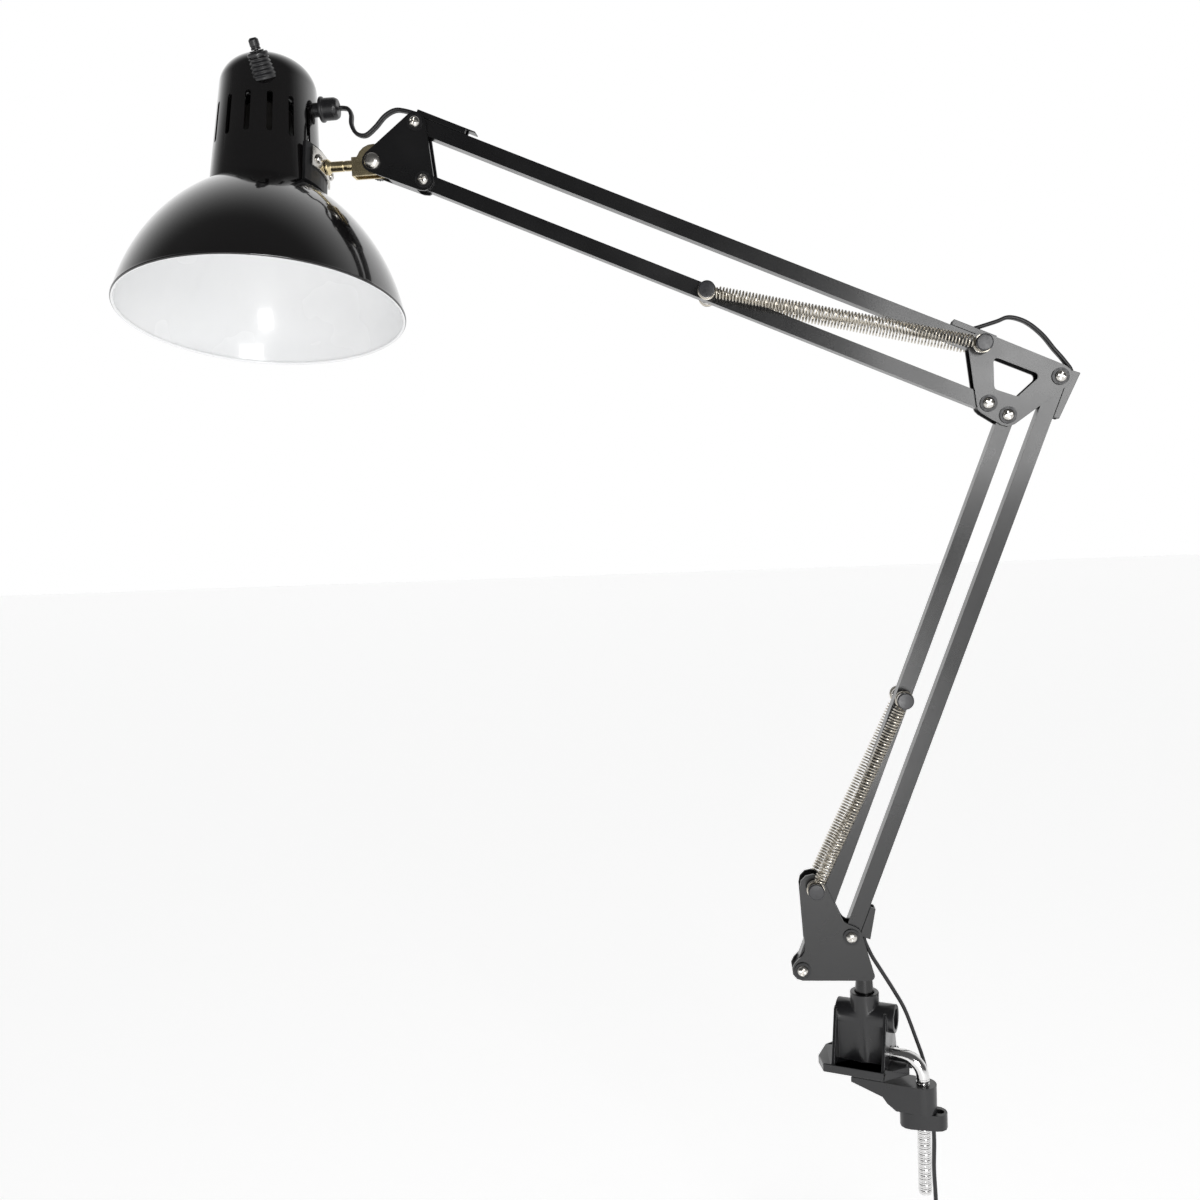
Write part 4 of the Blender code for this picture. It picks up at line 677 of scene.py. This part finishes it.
for first_side, second_side in ((1.25, 0.0), (0.0, 1.25)):
    size = fastener.vector(head_radius * first_side + recess_width * (1.0 if first_side == 0 else 0.0),
                           head_radius * second_side + recess_width * (1.0 if second_side == 0 else 0.0),
                           recess_depth * 2.0)
    cube = fastener.node("MeshCube", None, {"Size": (1.0, 1.0, 1.0)})
    arms.append(fastener.moved(cube, fastener.vector(z=head_rise), scale=size))
centre = fastener.node("MeshCone", None, {"Vertices": 12, "Radius Top": recess_width * 1.05,
                                          "Radius Bottom": recess_width * 0.4,
                                          "Depth": recess_depth * 1.5})
arms.append(fastener.moved(centre, fastener.vector(z=head_rise - recess_depth * 1.5)))
carve = fastener.tree.nodes.new("GeometryNodeMeshBoolean")
carve.operation, carve.solver = "DIFFERENCE", "EXACT"
feed(carve.inputs["Mesh 1"], ball)
for cutter in (below, *arms):
    fastener.tree.links.new(cutter.socket, carve.inputs["Mesh 2"])
feed(carve.inputs["Self Intersection"], True)
dome = fastener.moved(Flow(fastener.tree, carve.outputs[0]), fastener.vector(z=seat))
dome = fastener.painted(dome, head_metal)
washer = fastener.node("MeshCylinder", None, {"Vertices": 40, "Radius": washer_radius,
                                              "Depth": washer_rise})
washer = fastener.painted(fastener.moved(washer, fastener.vector(z=half_grip + washer_rise * 0.5)),
                          washer_metal)
shank = fastener.node("MeshCylinder", None, {"Vertices": 24, "Radius": shank_radius,
                                             "Depth": half_grip * 2.0})
shank = fastener.painted(shank, head_metal)
hexagon = fastener.node("MeshCylinder", None, {"Vertices": 6, "Radius": nut_radius, "Depth": nut_rise})
hexagon = fastener.painted(fastener.moved(hexagon, fastener.vector(z=half_grip * -1.0 - nut_rise * 0.5)),
                           head_metal)
screw = fastener.joined(dome, washer, shank, hexagon)
twist = add_node(fastener.tree, "GeometryNodeInputIndex") * 0.9 + 0.35
placed = fastener.node("InstanceOnPoints", None, {"Points": fastener.base, "Instance": screw,
                                                  "Rotation": fastener.vector(math.radians(90), twist,
                                                          0.0)})
fastener.finish(placed)
screw_sizes = {
    "head_radius": 3.6 * MM, "head_rise": 2.4 * MM, "washer_radius": 5.2 * MM, "washer_rise": 0.8 * MM,
    "shank_radius": 2.0 * MM, "half_grip": 6.85 * MM, "nut_radius": 4.4 * MM, "nut_rise": 3.2 * MM,
    "recess_width": 0.95 * MM, "recess_depth": 1.0 * MM, "head_material": plated.material,
    "washer_material": blackened.material,
}
for name, places, nodes in (
    ("base_screws", (left_foot, right_foot), ("base_left_screw", "base_right_screw")),
    ("elbow_screws", (elbow_right, elbow_low, elbow_left), ("elbow_right_screw", "elbow_low_screw",
                                                            "elbow_left_screw")),
    ("head_screws", (head_top, head_low), ("head_top_screw", "head_low_screw")),
):
    mesh = fastener.make(name, places, **screw_sizes)
    thing = bpy.data.objects.new(name, mesh)
    bpy.context.scene.collection.objects.link(thing)
    mesh.polygons.foreach_set("use_smooth", [True] * len(mesh.polygons))
    mesh.set_sharp_from_angle(angle=math.radians(32))
    settle(thing, *nodes)

# --- Spring posts ---
# Turned steel posts through the tubes and brackets, with a groove for the springs' hooks and a flat black
# cap.
# The base has two short studs instead, one on each cheek.


def rounded(profile, radius, ring=False, steps=3):
    """A turned profile with its corners rolled over."""
    done = []
    count = len(profile)
    for index, point in enumerate(profile):
        if not ring and index in (0, count - 1):
            done.append(Vector(point))
            continue
        before, here, after = Vector(profile[index - 1]), Vector(point), Vector(profile[(index + 1) % count])
        cut = min(radius, 0.45 * (before - here).length, 0.45 * (after - here).length)
        start, end = here + (before - here).normalized() * cut, here + (after - here).normalized() * cut
        if (here - before).angle(after - here) < math.radians(12):
            done.append(here)
            continue
        for step in range(steps + 1):
            t = step / steps
            done.append((1 - t) ** 2 * start + 2 * t * (1 - t) * here + t * t * end)
    return done


def lathe(name, profile, place, materials, sides=64, ring=False, paint=None):
    """A shape turned round its own Z axis. paint gives a face's material from its profile step."""
    shape = bmesh.new()
    rings = []
    for radius, height in profile:
        if radius < 1e-7:
            rings.append([shape.verts.new((0.0, 0.0, height))])
        else:
            rings.append([shape.verts.new((radius * math.cos(2 * math.pi * k / sides),
                                           radius * math.sin(2 * math.pi * k / sides),
                                           height)) for k in range(sides)])
    pairs = list(zip(rings, rings[1:] + rings[:1])) if ring else list(zip(rings, rings[1:]))
    for step, (one, two) in enumerate(pairs):
        for k in range(sides):
            corners = [one[k % len(one)], one[(k + 1) % len(one)], two[(k + 1) % len(two)],
                       two[k % len(two)]]
            corners = [corner for position, corner in enumerate(corners) if corner not in corners[:position]]
            if len(corners) > 2:
                face = shape.faces.new(corners)
                face.material_index = paint(step) if paint else 0
    mesh = closed_mesh(name, shape)
    mesh.transform(place)
    return linked(name, mesh, *materials)


def facing(place, direction, turn=0.0):
    """Where a turned piece goes: its foot at place and its axis along direction."""
    return Matrix.Translation(place) @ Vector(direction).to_track_quat("Z",
            "Y").to_matrix().to_4x4() @ Matrix.Rotation(turn, 4, "Z")


cap_face = Finish("black_cap", coat_weight=0.3, coat_roughness=0.2)
dust = cap_face.noise(500.0)
cap_face.set(base_color=cap_face.blend(dust, (0.012, 0.012, 0.014), (0.035, 0.035, 0.04)),
             roughness=cap_face.between(dust, 0.3, 0.7, 0.3, 0.45))
stud_half = [(0.0, 17.25), (4.6, 17.25), (5.2, 16.8), (5.2, 15.85), (4.5, 15.85), (4.5, 7.65), (5.2, 7.65),
             (5.2, 6.85),
             (2.5, 6.85)]
stud_half = [(radius * MM, height * MM) for radius, height in stud_half]


for name, node, sides_of in (
    ("lower_post", "lower_spring_post", "both"), ("upper_post", "upper_spring_post", "both"),
    ("elbow_post", "elbow_spring_post", "both"), ("base_stud_front", "base_spring_stud_front", -1.0),
    ("base_stud_back", "base_spring_stud_back", 1.0),
):
    post_low, post_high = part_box(node)
    middle = (post_low + post_high) / 2
    middle.y = 0.0
    if sides_of == "both":
        profile = stud_half + [(radius, -height) for radius, height in reversed(stud_half)]
        direction = (0.0, -1.0, 0.0)
    else:
        profile = stud_half + [(2.5 * MM, 5.05 * MM), (0.0, 5.05 * MM)]
        direction = (0.0, sides_of, 0.0)
    turned = rounded(profile, 0.25 * MM)
    caps = [step for step, (one, two) in enumerate(zip(turned, turned[1:])) if min(abs(one[1]),
            abs(two[1])) > 15.5 * MM]
    settle(lathe(name, turned, facing(middle, direction), [plated.material, cap_face.material], 36,
                 paint=lambda step, caps=caps: 1 if step in caps else 0), node)

# --- Springs ---
# Four extension springs of nickel-plated wire about 1 mm thick, a front and a back one to each arm.
# Each is hooked over a post at both ends.

sprung = Finish("spring_wire", metallic=1.0)
tarnish, die_lines = sprung.noise(220.0), sprung.noise(3000.0, 2.0)
sprung.set(base_color=sprung.blend(tarnish, (0.50, 0.46, 0.39), (0.74, 0.70, 0.62)),
           roughness=sprung.between(tarnish, 0.3, 0.7, 0.2, 0.36), normal=sprung.bump(die_lines, 0.00002,
                   0.4))
wound = winding_recipe("extension spring", True)
for name, node, first_node, second_node, fixed, moving, pitch_of_coil in (
    ("lower_coil_front", "lower_spring_front", "base_spring_stud_front", "lower_spring_post", "base",
     "lower_arm_left", 1.9),
    ("lower_coil_back", "lower_spring_back", "base_spring_stud_back", "lower_spring_post", "base",
     "lower_arm_left", 1.9),
    ("upper_coil_front", "upper_spring_front", "elbow_spring_post", "upper_spring_post", "elbow",
     "upper_arm_low", 2.05),
    ("upper_coil_back", "upper_spring_back", "elbow_spring_post", "upper_spring_post", "elbow",
     "upper_arm_low", 2.05),
):
    spring_low, spring_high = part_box(node)
    side = (spring_low.y + spring_high.y) / 2
    ends = []
    for post in (first_node, second_node):
        post_low, post_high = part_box(post)
        ends.append(Vector(((post_low.x + post_high.x) / 2, side, (post_low.z + post_high.z) / 2)))
    start, end = ends
    span = (end - start).length
    turns = (span - 10.0 * MM) / (pitch_of_coil * MM)
    mesh = wound.make(name, low=5.1 * MM, high=span - 5.1 * MM, coil_radius=3.5 * MM, wire_radius=0.5 * MM,
                      turns=turns,
                      steps=int(turns * 18), hook_radius=5.25 * MM, length=span, material=sprung.material)
    along = (end - start).normalized()
    across = Vector((0.0, 1.0, 0.0))
    mesh.transform(Matrix.Translation(start) @ Matrix((across.cross(along), across,
                                                       along)).transposed().to_4x4())
    thing = settle(linked(name, mesh, sprung.material), node, body="")
    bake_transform(thing)

# --- Tilting joint ---
# A brass fork folded from sheet, with a brass shaft that screws through the shade's saddle.
# A domed screw and a ribbed black knob on the back hold the fork at its angle.

brassy = Finish("bright_brass", metallic=1.0)
rubbed, scratch = brassy.noise(110.0), brassy.noise(1600.0, 3.0, 0.6, (0.15, 1.0, 1.0))
brassy.set(base_color=brassy.blend(rubbed, (0.62, 0.50, 0.28), (0.80, 0.70, 0.46)),
           roughness=brassy.between(rubbed, 0.3, 0.7, 0.18, 0.32), normal=brassy.bump(scratch, 0.00002,
                   0.4))
skin("tilt_fork", "fork_plate", 0.3 * MM, brassy.material)
settle(lathe("tilt_screw_dome", [(radius * MM, height * MM) for radius, height in (
    (0.0, 9.75), (1.6, 9.65), (3.0, 9.3), (4.2, 8.65), (5.0, 7.95), (5.3, 7.4), (5.3, 6.85), (2.5, 6.85),
    (2.5, -14.2),
    (2.1, -14.85), (0.0, -14.85))], facing(tilt, (0.0, -1.0, 0.0)), [plated.material], 48), "tilt_screw")

grip = Finish("ribbed_knob")
knob_haze = grip.noise(300.0)
grip.set(base_color=grip.blend(knob_haze, (0.014, 0.014, 0.015), (0.03, 0.03, 0.032)),
         roughness=grip.between(knob_haze, 0.3, 0.7, 0.4, 0.55))
ribbed = Recipe("ribbed knob")
rib_count = ribbed.size("Rib Count", "Int")
knob_radius = ribbed.size("Radius")
knob_depth = ribbed.size("Depth")
bore_radius = ribbed.size("Bore")
rib_radius = ribbed.size("Rib Radius")
knob_plastic = ribbed.size("Material", "Material")
drum = ribbed.node("MeshCylinder", None, {"Vertices": 48, "Radius": knob_radius - rib_radius,
                                          "Depth": knob_depth})
hole = ribbed.node("MeshCylinder", None, {"Vertices": 32, "Radius": bore_radius, "Depth": knob_depth * 2.0})
hollow = ribbed.tree.nodes.new("GeometryNodeMeshBoolean")
hollow.operation, hollow.solver = "DIFFERENCE", "EXACT"
feed(hollow.inputs["Mesh 1"], drum)
ribbed.tree.links.new(hole.socket, hollow.inputs["Mesh 2"])
rib = ribbed.node("MeshCylinder", None, {"Vertices": 8, "Radius": rib_radius,
                                         "Depth": knob_depth - rib_radius})
round_edge = ribbed.node("MeshCircle", None, {"Vertices": rib_count, "Radius": knob_radius - rib_radius})
ribs = ribbed.node("InstanceOnPoints", None, {"Points": round_edge, "Instance": rib})
ribbed.finish(ribbed.joined(Flow(ribbed.tree, hollow.outputs[0]), ribs), knob_plastic)
knob_low, knob_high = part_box("tilt_nut")
mesh = ribbed.make("tilt_knob", rib_count=26, radius=7.2 * MM, depth=7.0 * MM, bore=2.8 * MM,
                   rib_radius=0.6 * MM,
                   material=grip.material)
mesh.transform(facing((knob_low + knob_high) / 2, (0.0, 1.0, 0.0)))
settle(linked("tilt_knob", mesh, grip.material), "tilt_nut")

# --- Shade ---
# Spun sheet steel: a bowl that is one long arc from its small flat top down to a rolled rim.
# Gloss black enamel outside, and gloss white baked enamel inside and round the rim's underside.

glaze = Finish("white_enamel", coat_weight=0.6, coat_roughness=0.05)
ripple, cast = glaze.noise(22.0, 2.0), glaze.noise(9.0)
glaze.set(base_color=glaze.blend(cast, (0.80, 0.81, 0.82), (0.87, 0.87, 0.87)),
          roughness=glaze.between(ripple, 0.3, 0.7, 0.2, 0.3), normal=glaze.bump(ripple, 0.0006, 0.12))
shade_enamel = Finish("shade_black_enamel", coat_weight=1.0, coat_roughness=0.02)
pull, skin_peel = shade_enamel.noise(18.0, 3.0), shade_enamel.noise(700.0, 2.0)
shade_enamel.set(base_color=shade_enamel.blend(pull, (0.0030, 0.0028, 0.0030), (0.0075, 0.0066, 0.0068)),
                 roughness=shade_enamel.between(pull, 0.3, 0.7, 0.10, 0.18),
                 normal=shade_enamel.bump(skin_peel, 0.00003, 0.15))


def arc_points(centre, radius, start, end, steps):
    angles = [math.radians(start + (end - start) * step / steps) for step in range(steps + 1)]
    return [Vector((centre[0] + radius * math.cos(angle),
                    centre[1] + radius * math.sin(angle))) for angle in angles]


neck = 80.0
bowl = [Vector((21.0, neck)), Vector((34.8, neck)), *arc_points((35.0, neck - 6.0), 6.0, 88, 57, 4),
        *arc_points((-33.25, -24.18), 125.6, 55, 12, 30)]
wall = 0.8
inner = []
for index, point in enumerate(bowl):
    tangent = (bowl[min(index + 1, len(bowl) - 1)] - bowl[max(index - 1, 0)]).normalized()
    inner.append(point + wall * Vector((tangent.y, -tangent.x)))
bead = arc_points((89.1, 1.1), 1.1, 40, -220, 12)
whole = bowl + bead + inner[::-1]
black_steps = len(bowl) + 5
shade_profile = [(point.x * MM, (point.y - 98.0) * MM) for point in whole]
settle(lathe("bowl_shade", shade_profile, head_place, [shade_enamel.material, glaze.material], 160,
             ring=True,
             paint=lambda step: 0 if step < black_steps else 1), "shade")

# --- Housing ---
# The tall cap over the lamp holder, pressed from sheet and slotted all round to let the heat out.
# A press cuts one slot, the cap is turned, and the next is cut; the place behind the cord's bushing has
# none.

neck_height = neck - 98.0
seat = neck_height + 0.3
housing_profile = [(0.0, 73.0), *[(point.x, point.y) for point in arc_points((13.0, 55.0), 18.0, 88, 2,
        14)],
                   (35.2, seat), (33.6, seat),
                   *[(point.x, point.y) for point in arc_points((13.0, 55.0), 16.4, 2, 88, 10)],
                   (0.0, 71.4)]
plain = lathe("plain housing", rounded([(radius * MM, height * MM) for radius, height in housing_profile],
                                       0.3 * MM),
              Matrix.Identity(4), [shade_enamel.material], 128)
plain_mesh = plain.data
bpy.data.objects.remove(plain)
vented = Recipe("vent slots")
slot_count = vented.size("Slot Count", "Int")
slot_width = vented.size("Slot Width")
slot_low = vented.size("Slot Low")
slot_high = vented.size("Slot High")
slot_ring = vented.size("Ring Radius")
left_out = vented.size("Left Out", "Int")
slot_paint = vented.size("Material", "Material")
punch_depth = 14.0 * MM
blank = vented.node("MeshCube", None, {"Size": (1.0, 1.0, 1.0)})
blank = vented.moved(blank, scale=vented.vector(punch_depth, slot_width, slot_high - slot_low - slot_width))
punch = [blank]
for way in (1.0, -1.0):
    end_round = vented.node("MeshCylinder", None, {"Vertices": 20, "Radius": slot_width * 0.5,
                                                   "Depth": punch_depth})
    height = (slot_high - slot_low - slot_width) * (0.5 * way)
    punch.append(vented.moved(end_round, vented.vector(z=height), (0.0, math.radians(90), 0.0)))
round_line = vented.node("MeshCircle", None, {"Vertices": slot_count, "Radius": slot_ring})
round_line = vented.moved(round_line, vented.vector(z=(slot_low + slot_high) * 0.5),
                          (0.0, 0.0, math.radians(-90)))
index = add_node(vented.tree, "GeometryNodeInputIndex")
here = add_node(vented.tree, "GeometryNodeInputPosition")
flat_place = add_node(vented.tree, "ShaderNodeVectorMath", {"operation": "MULTIPLY"},
                      {0: here, 1: (1.0, 1.0, 0.0)})
aimed = add_node(vented.tree, "FunctionNodeAlignRotationToVector", {"axis": "X"}, {"Vector": flat_place})
kept = index.maths("COMPARE", index, left_out, 0.5)
kept = 1.0 - kept
punches = vented.node("InstanceOnPoints", None, {"Points": round_line, "Instance": vented.joined(*punch),
                                                 "Selection": kept,
                                                 "Rotation": aimed})
punches = vented.node("RealizeInstances", None, {"Geometry": punches})
pressed = vented.tree.nodes.new("GeometryNodeMeshBoolean")
pressed.operation, pressed.solver = "DIFFERENCE", "EXACT"
feed(pressed.inputs["Mesh 1"], vented.base)
vented.tree.links.new(punches.socket, pressed.inputs["Mesh 2"])
feed(pressed.inputs["Self Intersection"], True)
vented.finish(Flow(vented.tree, pressed.outputs[0]), slot_paint)
slots = 15
behind_bushing = round(90 / (360 / slots))
mesh = vented.make("slotted_housing", mesh=plain_mesh, slot_count=slots, slot_width=3.6 * MM,
                   slot_low=10.0 * MM,
                   slot_high=38.0 * MM, ring_radius=34.0 * MM, left_out=behind_bushing,
                   material=shade_enamel.material)
mesh.transform(head_place)
settle(linked("slotted_housing", mesh, shade_enamel.material), "switch_housing")

# --- Switch ---
# A rotary switch stands up from a boss on the housing's shoulder: a threaded bush, its nut and a small
# fluted knob.
# All of it is moulded black plastic, and the boss is ribbed round.

switch_aim = Vector((-0.12, -0.62, 0.78)).normalized()
switch_place = head_place @ facing(Vector((7.0, -34.4, 58.0)) * MM, switch_aim)


def sized(profile):
    return [(radius * MM, height * MM) for radius, height in profile]


knob_black = Finish("switch_plastic", coat_weight=0.25, coat_roughness=0.15)
knob_cloud = knob_black.noise(260.0)
knob_black.set(base_color=knob_black.blend(knob_cloud, (0.008, 0.008, 0.009), (0.02, 0.02, 0.022)),
               roughness=knob_black.between(knob_cloud, 0.3, 0.7, 0.28, 0.42))
boss = [(0.0, 0.0)]
for rib in range(5):
    boss += [(6.0 + 0.35 * rib, -0.3 - 2.4 * rib), (6.6 + 0.35 * rib, -0.9 - 2.4 * rib),
             (6.0 + 0.35 * rib, -2.1 - 2.4 * rib)]
boss += [(7.4, -13.0), (0.0, -13.0)]
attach(lathe("switch_boss", rounded(sized(boss), 0.3 * MM), switch_place, [knob_black.material],
                      64), "head")
bush = [(1.7, 3.7), (4.5, 3.7)]
for thread_turn in range(2):
    bush += [(4.5, 3.2 - thread_turn), (4.2, 2.95 - thread_turn), (4.5, 2.7 - thread_turn)]
bush += [(4.5, -14.5), (0.0, -14.5), (0.0, -5.9), (1.7, -5.9)]
settle(lathe("switch_bush", rounded(sized(bush), 0.15 * MM), switch_place, [knob_black.material], 40,
             ring=True), "switch_body")
settle(lathe("switch_ring", rounded(sized([(4.8, 2.7), (6.0, 2.7), (6.6, 2.1), (6.6, 0.3), (4.8, 0.3)]),
                                    0.3 * MM, True),
             switch_place, [knob_black.material], 48, ring=True), "switch_nut")
settle(lathe("switch_grip", rounded(sized([(0.0, 11.0), (1.9, 11.0), (3.1, 9.8), (3.1, 6.2), (2.75, 5.9),
                                           (2.75, 5.3), (3.1, 5.0),
                                           (3.1, 4.0), (1.3, 4.0), (1.3, -5.5), (0.0, -5.5)]), 0.3 * MM),
                                           switch_place,
             [knob_black.material], 40), "switch_knob")

# --- Bushing and saddle ---
# A black bushing carries the cord through the housing's side. Below it a nickel-plated plate and a black
# pad,
# held by two cross-head screws, spread the shaft's load over the thin sheet.

face = 35.1
settle(lathe("cord_gland", rounded(sized([
    (0.0, 47.5), (5.0, 47.5), (5.9, 47.2), (6.9, 45.2), (7.0, 43.0), (7.0, face + 3.0), (8.0, face + 2.2),
    (8.0, face + 0.6),
    (4.5, face + 0.6), (4.5, 30.0), (0.0, 30.0)]), 0.4 * MM),
    head_place @ facing((0.0, 0.0, 40.5 * MM), (1.0, 0.0, 0.0)), [moulded.material], 56), "cord_bushing")
skin("saddle_pad", "saddle_cushion", 0.5 * MM, vinyl.material, segments=3)
skin("saddle_plate", "saddle_strap", 0.35 * MM, plated.material)
settle(lathe("shade_shaft", rounded(sized([
    (0.0, 61.8), (2.6, 61.5), (3.0, 61.0), (3.0, 59.8), (2.0, 59.8), (2.0, 57.7), (3.3, 57.7), (3.3, 52.8),
    (3.0, 52.5), (3.0, 51.9),
    (3.3, 51.6), (3.3, 43.6), (5.0, 41.6), (5.0, 40.8), (2.0, 40.8), (2.0, 32.5), (3.5, 32.5), (3.5, 30.5),
    (0.0, 30.5)]), 0.25 * MM),
    head_place @ facing((0.0, 0.0, 0.0), (1.0, 0.0, 0.0)), [brassy.material], 48), "head_shaft")
saddle_outside = 40.5 * MM
for name, node, side in (("saddle_screw_one", "saddle_screw_front", -1.0),
                         ("saddle_screw_two", "saddle_screw_back", 1.0)):
    angle = side * math.asin(10.5 / 38.75)
    aim_out = Vector((math.cos(angle), math.sin(angle), 0.0))
    mesh = fastener.make(name, [(0.0, 0.0, 0.0)], **{
        **screw_sizes, "head_radius": 3.0 * MM, "head_rise": 1.9 * MM, "washer_radius": 3.0 * MM,
        "washer_rise": 0.25 * MM,
        "shank_radius": 1.5 * MM, "half_grip": 3.9 * MM, "nut_radius": 2.4 * MM, "nut_rise": 1.0 * MM,
        "recess_width": 0.8 * MM, "recess_depth": 0.8 * MM, "washer_material": plated.material})
    mesh.transform(Matrix.Rotation(math.radians(-90), 4, "X"))
    mesh.transform(head_place @ facing(aim_out * (saddle_outside + 0.1 * MM - 3.9 * MM), aim_out))
    thing = bpy.data.objects.new(name, mesh)
    bpy.context.scene.collection.objects.link(thing)
    mesh.polygons.foreach_set("use_smooth", [True] * len(mesh.polygons))
    mesh.set_sharp_from_angle(angle=math.radians(32))
    settle(thing, node)

# --- Lamp holder ---
# A black phenolic lamp holder clamps the shade to the housing by its flange, and holds a brass screw shell.
# The shell's wall is rolled into the lamp cap's round thread.

phenolic = Finish("phenolic")
mixed, speck = phenolic.noise(130.0), phenolic.noise(2000.0, 2.0)
phenolic.set(base_color=phenolic.blend(mixed, (0.012, 0.011, 0.010), (0.026, 0.024, 0.022)),
             roughness=phenolic.between(mixed, 0.3, 0.7, 0.38, 0.5), normal=phenolic.bump(speck, 0.00004,
                     0.5))
settle(lathe("lamp_holder", rounded(sized([
    (0.0, 42.0), (13.5, 42.0), (16.5, 39.0), (16.5, neck_height + 2.0), (24.0, neck_height + 2.0),
    (24.0, seat), (16.5, seat),
    (16.5, neck_height - 8.0), (14.1, neck_height - 8.0),
    (14.1, 37.0), (0.0, 37.0)]), 0.6 * MM), head_place, [phenolic.material], 96), "socket_body")
shell = [(0.0, 36.7), (12.6, 36.7)]
for step in range(0, 119):
    height = 34.0 - step * 0.44
    shell.append((13.3 + 0.42 * math.cos(2 * math.pi * step / 8), height))
shell += [(13.4, neck_height - 5.0), (12.9, neck_height - 5.0)]
for step in range(118, -1, -1):
    height = 34.0 - step * 0.44
    shell.append((12.9 + 0.42 * math.cos(2 * math.pi * step / 8), height))
shell += [(12.1, 36.2), (0.0, 36.2)]
settle(lathe("lamp_shell", sized(shell), head_place, [brassy.material], 64), "screw_shell")
